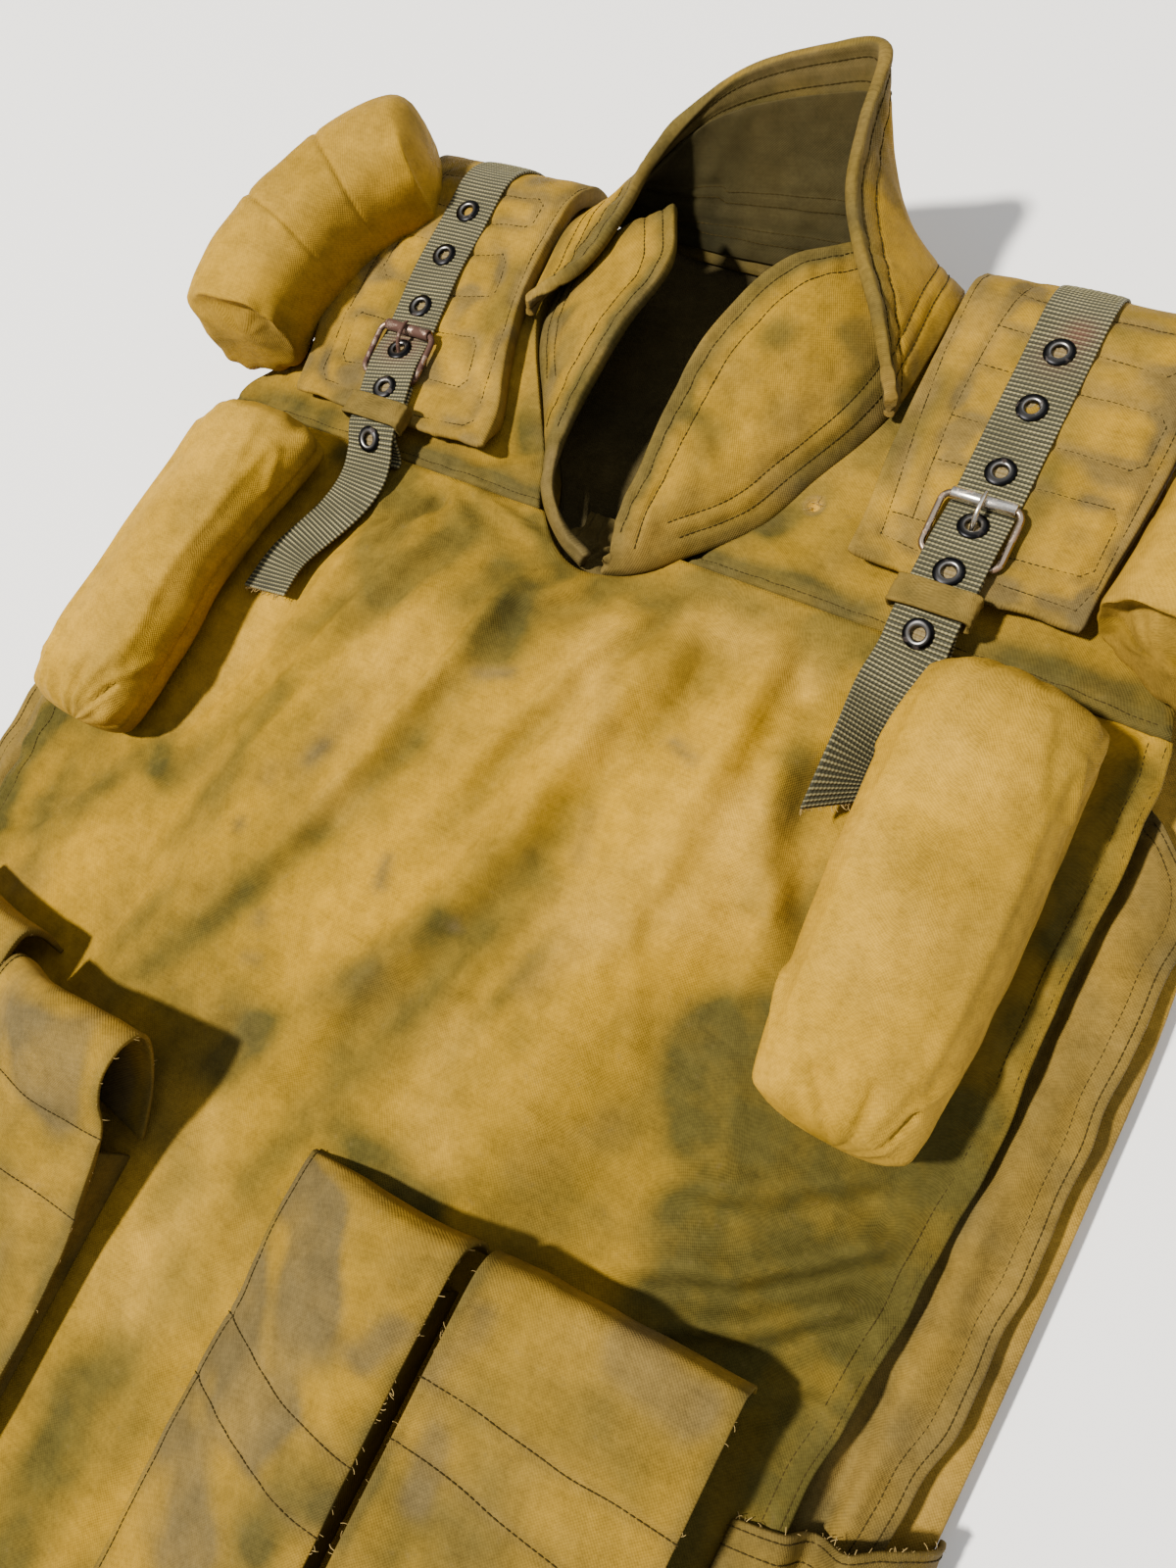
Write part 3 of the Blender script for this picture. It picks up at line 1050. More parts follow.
for side, name in ((RIGHT, "right"), (LEFT, "left")):
    rows_y = np.concatenate([spaced(YOKE_Y + 0.4, 160, 1.35), spaced(160, YOKE_BACK_Y, 3)[1:]])
    shares = np.concatenate([spaced(0, 0.36, 0.0085), spaced(0.36, 1, 0.02)[1:]])
    v, u = np.meshgrid(rows_y, shares, indexing="ij")
    x = side * mix(read(YOKE_EDGES, name, v), read(YOKE_EDGES, "outer", v), u)
    face = np.stack([x, v, yoke_top(x, v)], axis=2)
    soil = edge_soil(face, 0.4, 0.2, 8, 56, (0.14, 0.1, 0.08))
    soil[..., 0] += 0.3 + strokes(x, v, YOKE_SOIL, 0.8, 57)
    off_hole = np.hypot(x - HOLE["x"], v - HOLE["y"])
    soil[..., 2] += 3.0 * ridge(off_hole, 1.6)
    soil[..., 1] += 1.6 * ridge(off_hole - 3.4, 1.1)
    soil[..., 0] += 2.0 * ridge(off_hole - 3.4, 1.1) + 0.6 * ridge(v - YOKE_Y - 2, 2.6)
    yoke = panel(f"front_yoke_{name}", face, np.stack([x, v, np.full_like(x, FRONT_LOW)], axis=2), 0.3, soil)
    dressed(yoke, KHAKI, [f"front_yoke_{name}"])
    seam_y = YOKE_Y + SEAM_IN
    x = side * spaced(read(YOKE_EDGES, name, seam_y) + 1, 228, 3)
    sew(np.stack([x, seam_y + 0 * x, yoke_top(x, seam_y + 0 * x) + 0.15], axis=1))

hole_turn = np.arange(0, 2 * math.pi, 0.35)
hole_ring = np.stack([HOLE["x"] + 2.3 * np.cos(hole_turn), HOLE["y"] + 2.3 * np.sin(hole_turn)], axis=1)
hole_top = yoke_top(hole_ring[:, 0], hole_ring[:, 1]) + 0.6
fray(np.column_stack([hole_ring, hole_top]), (0, 0.3, 0.8), 0.9, 58, 0.8)

# %% [markdown]
# ## Shoulder flaps
# The back's shoulders are padded flaps that fold over the wearer's shoulder and lie on the yoke. They are
# quilted: a row runs 12 mm inside the edge, and boxes are sewn either side of the strap, so the padding
# stands up between the rows. The rows are dips in the flap's thickness, and threads lie in them.

# %% Flap surface
FLAPS = {
    "right": (RIGHT, 125, table("y inner outer", (120, 103.5, 192), (147, 101, 193), (170, 98.8, 195),
                                (205, 97.6, 196), (BEND_Y, 97.6, 188))),
    "left": (LEFT, 117, table("y inner outer", (112, 71.5, 186), (135, 76, 190.5), (163, 87, 196.5),
                              (189, 94.5, 196.5), (215, 97.6, 193), (BEND_Y, 97.6, 184))),
}

# Sewn rows, each a route of places: distance outwards from the vest's middle, then y. Places past the fold's
# start at y = 240 lie round the fold.
FLAP_ROUTES = {
    "right": (
        ((99, 266), (100, 217), (104, 180), (107, 160), (110.5, 136), (126, 134.5)),
        ((159, 132), (188, 131), (191.5, 142), (192.5, 183), (193, 208), (187, 250)),
        ((119, 264), (115, 234), (114, 215), (114, 193), (115.5, 173), (118.5, 148)),
        ((111, 146.5), (128, 147)), ((115.2, 173), (129, 173)), ((114.5, 192.5), (129, 191.5)),
        ((115, 216), (129, 215)), ((115, 234), (130, 232.5)), ((116, 252), (130, 250.5)),
        ((156, 143), (184, 144), (188, 148), (188, 168), (185, 172.5), (155, 172)),
        ((155, 190), (184, 189.5), (188.5, 193), (189, 209), (186, 213), (154, 213.5)),
        ((154, 231), (182, 229), (186, 233), (185, 245), (181, 248), (154, 248)),
    ),
    "left": (
        ((99, 264), (101, 215), (97.5, 189), (94, 172), (84.5, 128), (88, 124), (118, 121.5)),
        ((151, 124), (174, 125), (179, 130), (183, 160), (184, 190), (181, 222), (172, 250)),
        ((150, 139), (168, 136.5), (172, 140), (176, 160), (174, 163), (146, 163)),
        ((153, 184), (173, 185.5), (177, 190), (176.5, 206), (173, 209.5), (154, 209.5)),
        ((157, 228), (170, 229), (173, 232), (171, 246), (157, 248)),
        ((121, 141), (102, 142), (99, 146), (104, 163), (108, 167), (132, 164)),
        ((132, 184), (112, 188.5), (109, 192), (112, 207), (116, 211), (134, 206)),
        ((133, 224.5), (112, 227.5), (109, 231), (109, 240), (113, 243), (134, 240.5)),
    ),
}


def flap_lines(name):
    """The sewn rows of a flap, as straight lines: x0, y0, x1, y1."""
    return [(*start, *end) for route in FLAP_ROUTES[name] for start, end in zip(route[:-1], route[1:])]


def line_dips(x, y, lines, wide):
    dip = np.zeros(np.broadcast(x, y).shape)
    for x0, y0, x1, y1 in lines:
        dx, dy = x1 - x0, y1 - y0
        t = np.clip(((x - x0) * dx + (y - y0) * dy) / (dx * dx + dy * dy), 0, 1)
        off = np.hypot(x - x0 - t * dx, y - y0 - t * dy)
        dip = np.maximum(dip, ridge(off, wide))
    return dip


def flap_puff(name, x, y):
    """How far the padded flap stands above its plain form."""
    lines = FLAP_LINES[name]
    seed = 61 if name == "right" else 71
    quilt = -0.9 * line_dips(x, y, lines, 1.2) - 0.6 * line_dips(x, y, lines, 4.5)
    pucker = 0.3 * hills(x, y, 4, seed + 2) * line_dips(x, y, lines, 6.0)
    return quilt + pucker + 0.75 * hills(x, y, 19, seed) + 0.3 * hills(x, y, 7, seed + 1) + 0.3


FLAP_LINES = {name: flap_lines(name) for name in FLAPS}


FLAP_EDGE_THICK = 3.4  # the free end is pressed flatter, and stands off the yoke
FLAP_Z, FLAP_SLOPE, FLAP_Z_Y = 56.2, 0.0475, 118  # its face's height at FLAP_Z_Y, and how it rises from there


def flap_point(name, x, y, depth):
    """A point of the flap, x measured outwards, on its face (depth 0) or its underside (depth 1)."""
    side, end, _ = FLAPS[name]
    puff = flap_puff(name, x, y) if depth == 0 else 0
    loose = smooth(end + 17, end, y)
    corner = np.exp(-(((x - (104 if name == "right" else 74)) / 13) ** 2 + ((y - end) / 11) ** 2))
    lift = loose * (0.7 + 0.9 * hills(x, y * 0, 24, 65)) + 3.2 * corner
    thick = depth * mix(FLAP_THICK, FLAP_EDGE_THICK, loose)
    height = FLAP_Z + FLAP_SLOPE * (np.minimum(y, BEND_Y) - FLAP_Z_Y) + lift + puff - thick
    over = np.maximum(y - BEND_Y, 0) / BEND_R
    radius = BEND_R + puff - FLAP_THICK * depth
    level_y = np.where(over > 0, BEND_Y + radius * np.sin(over), y)
    return np.stack([side * x, level_y, np.where(over > 0, BEND_Z + radius * np.cos(over), height)], axis=-1)


for name, (side, end, edges) in FLAPS.items():
    u = spaced(0, 1, 0.0158)
    arcs = BEND_Y + BEND_R * spaced(math.pi, 0, 0.05)
    route = np.concatenate([arcs, spaced(BEND_Y, end, 1.65)[1:]])
    fy, fu = np.meshgrid(route, u, indexing="ij")
    flat_outer = read(edges, "outer", fy)
    below = smooth(0, math.pi, np.maximum(fy - BEND_Y, 0) / BEND_R)
    inner = read(edges, "inner", fy)
    outer = mix(flat_outer, 199.0, below)
    x = mix(inner, outer, fu)
    ragged = 1.1 * hills(x, fy * 0, 9, 66) + 0.5 * hills(x, fy * 0, 3.5, 67)
    shifted = fy + ragged * smooth(end + 8, end, fy)
    face, back = flap_point(name, x, shifted, 0), flap_point(name, x, shifted, 1)
    back[..., 2] = np.maximum(back[..., 2], 0.3)
    soil = edge_soil(face, 0.5, 0.45, 6, 62, (0.2, 0.18, 0.12))
    seams = line_dips(x, fy, FLAP_LINES[name], 3.4)
    soil[..., 1] += seams * (0.5 + 0.9 * hills(x, fy, 9, 68)) + np.clip(1.5 * hills(x, fy, 14, 69) - 0.2, 0,
                                                                        0.8)
    soil[..., 0] += 0.55 * ridge(x - 158, 6) + np.clip(1.2 * hills(x, fy, 22, 70) - 0.4, 0, 0.6)
    flap = panel(f"shoulder_flap_{name}", face, back, 1.3, soil)
    dressed(flap, KHAKI, [f"shoulder_flap_{name}"])
    for x0, y0, x1, y1 in FLAP_LINES[name]:
        t = spaced(0, 1, 2.5 / math.hypot(x1 - x0, y1 - y0))
        row = flap_point(name, mix(x0, x1, t), mix(y0, y1, t), 0)
        row[:, 2] += 0.12
        sew(row)

# %% [markdown]
# ## Stuffed rolls
# Bolsters outside the shoulders and pads on the chest are stuffed tubes of cloth. Their ends are gathered: the
# cloth is folded into pleats there and pulled in, and a few tucks run along them where they bend.

# %% Shoulder rolls
def squared(value, power=0.84):
    return np.sign(value) * np.abs(value) ** power


SHOULDER_ROLLS = {
    "right": table("s x y z radius", (0, 221, 116, 70, 23), (0.08, 223, 121, 69.5, 27),
                   (0.3, 227, 152, 71, 28.5),
                   (0.55, 230, 190, 72, 29), (0.8, 226, 228, 71, 28), (0.95, 217, 254, 67, 26),
                   (1, 213, 259, 66, 21)),
    "left": table("s x y z radius", (0, -219, 124, 70, 23), (0.08, -220, 129, 69.4, 26.7),
                  (0.3, -222, 156, 71, 28.5), (0.55, -215, 189, 72.5, 29), (0.8, -200, 219, 73, 28.6),
                  (0.95, -181, 240, 73, 27), (1, -173, 246, 73, 24)),
}
ROLL_ROUND, ROLL_LONG, ROLL_SIDES = 27, 150, 80  # mean radius, length, points round
ROLL_TUCKS = {"right": (0.34, 0.66), "left": (0.46, 0.74)}


def domed(share, from_start, from_end):
    """1 along a roll, falling to 0 on a round curve at its ends."""
    inward = np.minimum(share / from_start, (1 - share) / from_end)
    return (1 - (1 - np.clip(inward, 0, 1)) ** 2.4) ** 0.45


for name, rows in SHOULDER_ROLLS.items():
    seed = 81 if name == "right" else 85
    s = np.concatenate([[0.002, 0.006, 0.012, 0.02], spaced(0.03, 0.97, 0.0085), [0.98, 0.988, 0.994, 0.998]])
    turn = np.arange(ROLL_SIDES) / ROLL_SIDES * 2 * math.pi
    centre = np.stack([read(rows, axis, s, "s") for axis in "xyz"], axis=1)
    way = unit(np.gradient(centre, s, axis=0))
    out = unit(np.cross([0, 0, 1], way))
    up = np.cross(way, out)
    full = np.maximum(read(rows, "radius", s, "s"), read(rows, "radius", np.clip(s, 0.1, 0.9), "s") - 2)
    radius = (full * domed(s, 0.11, 0.13 if name == "right" else 0.06))[:, None] + 0 * turn[None]
    arc = turn[None] * ROLL_ROUND + 0 * s[:, None]
    run = s[:, None] * ROLL_LONG + 0 * turn[None]
    gather = ridge(s, 0.11) + (1 if name == "right" else 0.4) * ridge(1 - s, 0.1)
    pleats = np.sin(10 * turn[None] + 2.5 * hills(arc, run, 24, seed))
    radius += 1.2 * pleats * (gather * domed(s, 0.04, 0.04))[:, None]
    radius += 0.9 * hills(arc, run, 30, seed + 1) + 0.35 * hills(arc, run, 11, seed + 2)
    facing = ridge(np.angle(np.exp(1j * (turn - (1.75 if name == "left" else 1.4)))), 1.0)[None]
    for tuck in ROLL_TUCKS[name]:
        off = (s[:, None] - tuck - 0.02 * np.sin(turn[None] + 1.0)) * ROLL_LONG
        radius += facing * (0.7 * ridge(off + 4, 3.5) - 1.5 * ridge(off, 1.3))
    corner = 0.86 if name == "right" else 0.74
    wide, tall = squared(np.cos(turn), corner), squared(np.sin(turn), corner)
    rings = centre[:, None] + out[:, None] * (radius * wide)[..., None] + up[:, None] * (radius * tall)[...,
                                                                                                        None]
    soil = np.stack([0.08 + 0.3 * gather[:, None] + 0.2 * hills(arc, run, 36, seed + 3),
                     0.2 + 0.2 * hills(arc, run, 22, seed + 4), 0.12 + 0.25 * hills(arc, run, 30, seed + 5)],
                    axis=2)
    roll = stuffed(f"shoulder_roll_{name}", rings, soil)
    dressed(roll, KHAKI, [f"shoulder_roll_{name}"])

# %% Chest rolls
CHEST_ROLLS = {
    "right": table("y x half high", (-78, 190, 20, 30), (-72, 189, 27, 38), (-50, 188, 31, 42),
                   (0, 186, 34, 43),
                   (60, 183.5, 34.5, 42), (88, 184.5, 31.5, 39), (97, 184, 24, 31)),
    "left": table("y x half high", (-76, -190, 22, 30), (-70, -189, 29, 38), (-48, -188, 33, 42),
                  (5, -187, 32, 43),
                  (45, -185, 32, 42), (84, -180, 34, 39), (96, -178, 27, 31)),
}


CHEST_ROLL_FOLDS = (  # arc and run of each end, width, height: arc 25 is the outer top edge, 75 the inner one
    (26, 30, 25, 150, 4, 1.6), (74, 20, 75, 150, 4, 1.4), (40, 160, 30, 128, 2.5, 1.8),
                    (58, 165, 66, 134, 2.5, 1.7),
    (50, 168, 48, 140, 2.2, -1.6), (36, 8, 30, 34, 2.5, 1.5), (64, 6, 70, 36, 2.5, 1.6),
                    (50, 4, 52, 26, 2.2, -1.5),
    (20, 150, 8, 132, 3, 1.4), (84, 150, 94, 130, 3, 1.4), (22, 24, 6, 40, 3, 1.3), (80, 22, 96, 44, 3, 1.3),
    (38, 0, 41, 24, 1.6, -2.6), (46, 0, 58, 20, 1.5, -2.4), (30, 0, 20, 22, 1.6, -2.2),
)
for name, rows in CHEST_ROLLS.items():
    seed = 91 if name == "right" else 97
    low_y, high_y = rows["y"][0], rows["y"][-1]
    s = np.concatenate([[0.001, 0.004, 0.009, 0.016], spaced(0.025, 0.975, 0.0085),
                        [0.984, 0.991, 0.996, 0.999]])
    turn = (np.arange(92) + 0.25) / 92 * 2 * math.pi
    y = mix(low_y, high_y, s)[:, None] + 0 * turn[None]
    run = y - low_y
    arc = turn[None] * 32 + 0 * y
    ends = ridge(s, 0.07) + ridge(1 - s, 0.09)
    swell = 1.0 * hills(arc, run, 30, seed) + 0.45 * hills(arc, run, 12, seed + 1)
    for arc_0, run_0, arc_1, run_1, wide, high in CHEST_ROLL_FOLDS:
        swell = swell + strokes(arc, run, ((arc_0, run_0, arc_1, run_1, wide, high),), 0.2, seed + 6)
    pleats = np.sin(9 * turn[None] + 2.5 * hills(arc, run, 20, seed + 2))
    swell = (swell + 1.2 * pleats * ends[:, None]) * domed(s, 0.03, 0.03)[:, None]
    cap = domed(s, 0.05, 0.06)[:, None]
    inner_y = np.clip(y, low_y + 14, high_y - 12)
    half_width = np.maximum(read(rows, "half", y), read(rows, "half", inner_y) - 4) * cap
    x = read(rows, "x", y) + (half_width + swell) * squared(np.cos(turn))[None]
    tall = np.maximum(read(rows, "high", y), read(rows, "high", inner_y) - 4)
    middle_z = front_top(x, y) + 0.9 + tall / 2
    lift = (tall * cap / 2 + swell) * squared(np.sin(turn))[None]
    rings = np.stack([x, y, middle_z + lift], axis=2)
    rings[..., 2] = np.maximum(rings[..., 2], front_top(x, y) + 0.4)
    high_up = lift + tall / 2
    soil = np.stack([0.05 + 0.35 * ends[:, None] + 0.16 * hills(arc, run, 36, seed + 3),
                     0.06 + 0.16 * hills(arc, run, 22, seed + 4), 0.3 + 0.25 * hills(arc, run, 30, seed + 5)],
                    axis=2)
    soil[..., 0] += 0.4 * ridge(high_up, 9) + 0.3 * smooth(0.0, 0.5, np.cos(turn))[None]
    roll = stuffed(f"chest_roll_{name}", rings, soil)
    dressed(roll, KHAKI, [f"chest_roll_{name}"])

# %% [markdown]
# ## Collar, lining and neck guards
# The collar stands up round the back of the neck: stiff, with a bound rim, two rows of stitching under it and
# two more near its foot. The guards are leaf-shaped pads on the front of the neck with the same bound edge.
# Both are walls of even thickness round a curved surface, and the binding is a fuller roll along the edge.

# %% Collar
COLLAR = table("s bx by bz rx ry rz", (0, -89.5, 189, 54, -89, 191, 62), (0.1, -92, 209, 54.5, -68, 211, 67),
               (0.22, -93, 238, 54, -59, 240, 73), (0.3, -89, 257, 43, -54, 257, 81),
               (0.38, -76, 262, 26, -40, 276, 93),
               (0.47, -45, 262, 22, -16, 288, 107), (0.56, 0, 261, 22, 18, 298, 114),
               (0.64, 45, 262, 22, 38, 302, 113),
               (0.7, 76, 262, 26, 41, 276, 105), (0.77, 89, 257, 43, 46, 252, 98),
               (0.84, 93, 238, 54, 57, 233, 91),
               (0.93, 92, 212, 54.5, 75, 211, 81), (1, 89.5, 188, 54, 89.5, 190, 62))
COLLAR_THICK = 6
COLLAR_RIM_ROWS, COLLAR_FOOT_ROWS = (5, 13.5), (10, 17)  # distances from the rim and from the foot


def ruled(rows, s, v, foot, rim):
    """A surface ruled between two edges of a table."""
    base = np.stack([read(rows, foot + axis, s, "s") for axis in "xyz"], axis=-1)
    edge = np.stack([read(rows, rim + axis, s, "s") for axis in "xyz"], axis=-1)
    return mix(base, edge, v[..., None])


def rows_of_sewing(place, rows, depth, wide=1.3):
    return sum(-depth * ridge(place - row, wide) for row in rows)


def walled(middle, normal, thick, face_relief, back_relief):
    """Face and back of a wall round a middle surface."""
    return (middle + normal * (thick / 2 + face_relief)[..., None],
            middle - normal * (thick / 2 + back_relief)[..., None])


def row_on(grid, heights, share, columns):
    """A row of points across a grid, at a share of its height in each column, and the rows below them."""
    rows_v = np.interp(share[columns], heights, np.arange(len(heights)))
    lower = np.floor(rows_v).astype(int)
    upper = np.minimum(lower + 1, len(heights) - 1)
    return mix(grid[lower, columns], grid[upper, columns], (rows_v - lower)[:, None]), lower


RIM_SHARES = [0.93, 0.955, 0.98, 1]
v, s = np.meshgrid(np.concatenate([spaced(0, 0.9, 0.026), RIM_SHARES]), spaced(0, 1, 0.0052), indexing="ij")
middle = ruled(COLLAR, s, v, "b", "r")
outward = outward_normals(middle, 0, s.shape[1] // 2, 1)
tall = np.linalg.norm(middle[-1] - middle[0], axis=-1)[None]
length = run_of(middle[-1])[None] + 0 * v
from_rim = (1 - v) * tall
from_foot = v * tall
pucker = 0.4 * np.sin(length / 1.9 + 3 * hills(length, from_rim, 15, 101)) * ridge(from_rim - 10, 9)
stitching = rows_of_sewing(from_rim, COLLAR_RIM_ROWS, 0.8) + rows_of_sewing(from_foot, COLLAR_FOOT_ROWS, 0.7)
crumple = 0.9 * hills(length, from_rim, 24, 102) + 0.35 * hills(length, from_rim, 9, 103)
calm_foot = smooth(0, 12, from_foot)
relief = (pucker + crumple) * calm_foot + stitching + 0.5 * ridge(from_rim, 3.5)
face, back = walled(middle, outward, COLLAR_THICK - 1.2, relief, stitching + 0.2 * ridge(from_rim, 3.5))
soil = edge_soil(face, 0.45, 0.3, 9, 104, (0.1, 0.1, 0.15))
soil[..., 1] += 0.25 * ridge(from_rim - 8, 8) * (1 + hills(length, from_rim, 12, 105))
soil[..., 1] += np.clip(1.4 * hills(length, from_rim, 17, 106) - 0.3, 0, 0.6)
soil[..., 0] += np.clip(1.4 * hills(length, from_rim, 26, 107) - 0.3, 0, 0.6) + 0.6 * ridge(from_rim - 3, 6)
inside_soil = soil + np.array([0.9, 0.3, -0.4])
collar = panel("back_collar", face, back, 1.4, soil, inside_soil)
dressed(collar, KHAKI, ["back_collar"])
shares = [(1 - place / tall[0], (1, -1)) for place in COLLAR_RIM_ROWS]
shares += [(place / tall[0], (1,)) for place in COLLAR_FOOT_ROWS]
for share, flips in shares:
    columns_kept = np.nonzero((share > 0.12) & (share < 0.96))[0][::2]
    for flip in flips:
        route, lower = row_on(face if flip > 0 else back, v[:, 0], share, columns_kept)
        sew(route + flip * outward[lower, columns_kept] * 0.15)

# %% Collar lining
LINING_SHARE = (0.08, 0.83)
LINING_ROWS, LINING_PUFFS = (9, 14.5, 27, 33), (12, 30)  # above the lining's foot
v, s = np.meshgrid(spaced(*LINING_SHARE, 0.03), spaced(0.1, 0.93, 0.0045), indexing="ij")
middle = ruled(COLLAR, s, v, "b", "r")
outward = outward_normals(middle, 0, s.shape[1] // 2, 1)
place = flat_map_of(middle)
crumple = 1.2 * hills(place[..., 0], place[..., 1], 20, 111) + 0.8 * hills(place[..., 0], place[..., 1], 8,
                                                                           112)
band_rows = rows_of_sewing(place[..., 1], LINING_ROWS, 0.9) + rows_of_sewing(place[..., 1], LINING_PUFFS,
                                                                             -0.6, 2.2)
inner = middle - outward * (4.1 + 0.6 * crumple + band_rows)[..., None]
outer = middle - outward * 2.8
for row in LINING_ROWS:
    columns_kept = np.arange(2, s.shape[1] - 2, 2)
    k = np.argmin(np.abs(place[:, columns_kept, 1] - row), axis=0)
    sew(inner[k, columns_kept] - outward[k, columns_kept] * 0.1)
soil = edge_soil(inner, 0.3, 0.3, 14, 113, (0.2, 0.15, 0.25))
lining = panel("collar_lining", inner, outer, 0.5, soil)
dressed(lining, LINING, ["collar_lining"])

# %% Loose lining in the neck
v, u = np.meshgrid(spaced(0, 1, 0.02), spaced(0, 1, 0.012), indexing="ij")
x, y = mix(-26, 26, u), mix(84, 119, v)
gathers = 1.6 * np.sin(x / 1.1 + 4 * hills(x, y, 9, 114)) * smooth(0, 0.2, v) + 2.6 * hills(x, y, 5, 115)
z = mix(40, 24, smooth(0.1, 0.9, v)) + gathers * (1 - 0.5 * v)
loose_top = np.stack([x, y, np.minimum(z, 43.5)], axis=2)
loose_soil = edge_soil(loose_top, 0.1, 0.1, 6, 116, (0.0, 0.1, 0.8))
loose = panel("neck_lining", loose_top, loose_top - (0, 0, 1.2), 0.4, loose_soil)
dressed(loose, LINING, [])

# %% Neck guards
GUARDS = {
    "right": (7, table("s sx sy rx ry rz", (0, 6, 86, 8, 89, 50.5), (0.14, 21, 93.5, 8.5, 101, 57),
                       (0.28, 35.5, 106.5, 9, 117, 64), (0.44, 57.5, 128, 10, 141, 70),
                       (0.58, 69, 152, 10, 161, 74),
                       (0.72, 81, 178.5, 14, 188, 80), (0.86, 86.5, 198, 28, 222, 82),
                       (1, 86, 218, 49, 243, 75))),
    "left": (4, table("s sx sy rx ry rz", (0, -5, 86.5, -2, 89, 51), (0.14, -20.5, 94, -17.5, 96.5, 53),
                      (0.28, -35, 107, -30, 109, 57), (0.44, -46, 128, -35.5, 128, 59),
                      (0.58, -62.5, 153, -36, 150, 62),
                      (0.72, -80, 179, -32, 186, 68), (0.86, -86.5, 200, -25, 218, 72),
                      (1, -86, 220, -40, 249, 67))),
}
GUARD_THICK, GUARD_SEAM_Z, GUARD_TUCK, GUARD_LONG = 5, 47.5, 3.2, 175
GUARD_RIM_ROWS, GUARD_FOOT_ROWS = (5.5, 15), (6, 13)
for name, (puff_high, rows) in GUARDS.items():
    seed = 121 if name == "right" else 131
    rows["sz"] = np.full(len(rows["s"]), GUARD_SEAM_Z, float)
    v, s = np.meshgrid(np.concatenate([spaced(0, 0.9, 0.022), RIM_SHARES]), spaced(0, 1, 0.0085),
                       indexing="ij")
    middle = ruled(rows, s, v, "s", "r")
    middle[..., 2] += puff_high * np.sin(math.pi * v) * smooth(0, 0.35, s)
    middle[..., 2] -= GUARD_TUCK * np.exp(-v / 0.04)  # the foot is tucked into its seam on the yoke
    outward = outward_normals(middle, v.shape[0] // 2, v.shape[1] // 2, 2)
    tall = np.linalg.norm(np.diff(middle, axis=0), axis=-1).sum(axis=0)[None]
    from_rim, from_foot = (1 - v) * tall, v * tall
    length = s * GUARD_LONG
    pucker = 0.45 * np.sin(length / 1.7 + 3 * hills(length, from_rim, 14, seed)) * ridge(from_rim - 10, 7)
    wide_enough = smooth(18, 34, tall)
    stitching = rows_of_sewing(from_rim, GUARD_RIM_ROWS, 0.9) * wide_enough
    stitching = stitching + rows_of_sewing(from_foot, GUARD_FOOT_ROWS, 0.8) * smooth(34, 46, tall)
    crumple = 1.3 * hills(length, from_rim, 22, seed + 1) + 0.75 * hills(length, from_rim, 8, seed + 2)
    binding = 0.5 * ridge(from_rim, 3)
    calm = smooth(0, 10, from_foot)
    relief = pucker * wide_enough + crumple * calm + stitching + binding
    face, back = walled(middle, outward, GUARD_THICK - 1, relief, binding)
    soil = edge_soil(face, 0.4, 0.35, 8, seed + 3, (0.22, 0.16, 0.08))
    soil[..., 0] += 0.8 * ridge(from_rim - 3, 6) + 0.5 * ridge(from_foot - 4, 9)
    soil[..., 1] += 0.35 * ridge(from_foot - 12, 14) * (1 + hills(length, from_rim, 12, seed + 4))
    soil[..., 0] += np.clip(1.3 * hills(length, from_rim, 20, seed + 5) - 0.35, 0, 0.6)
    guard = panel(f"neck_guard_{name}", face, back, 1.1, soil)
    dressed(guard, KHAKI, [f"neck_guard_{name}"])
    shares = [(1 - place / tall[0], 24) for place in GUARD_RIM_ROWS]
    shares += [(place / tall[0], 40) for place in GUARD_FOOT_ROWS]
    for share, tall_enough in shares:
        keep = np.nonzero(tall[0] > tall_enough)[0][::2]
        route, lower = row_on(face, v[:, 0], share, keep)
        sew(route + outward[lower, keep] * 0.15)

# %% [markdown]
# ## Shoulder straps
# Ribbed webbing, 25 mm wide, is sewn into the shoulder's fold, runs down over the flap and through the buckle and
# its keeper to a loose tail. The ribs are real relief on the strap, 2.2 mm apart. At each eyelet the webbing
# is pressed down inside the ring, which reads as its hole.

# %% Strap routes
WEBBING_HALF, WEBBING_THICK, RIB_HIGH = 12.5, 1.6, 0.28
STRAP_HEIGHT = table("y z", (28, 48.8), (55, 49.4), (76, 50.2), (88, 52), (97, 56.4), (102, 60.2),
                     (107, 62.2),
                     (112, 62.1), (125, 62), (134.2, 62.2), (141, 61.9), (148, 60.8), (153, 60.1),
                     (158, 59.65),
                     (163, 59.8), (173, 60.1), (201, 61.4), (226, 62.6), (BEND_Y, 63.3))
STRAPS = {
    "right": (30, table("y x twist raise", (28, 142, 44, 7.5), (55, 141, 38, 6.8), (80, 140, 14, 3),
                        (98, 141.5, 0, 0), (128, 142, 0, 0), (BEND_Y, 142, 0, 0))),
    "left": (17, table("y x twist raise", (15, -139.5, -6, 6), (38, -137.5, -9, 5.6), (74, -127, -3, 1.2),
                       (98, -127, 0, 0), (125, -133, 0, 0), (150, -139, 0, 0), (173, -142, 0, 0),
                       (201, -144.5, 0, 0), (BEND_Y, -145, 0, 0))),
}
EYELET_PLACES = (226.5, 201.5, 173, 148, 127, 101.5)


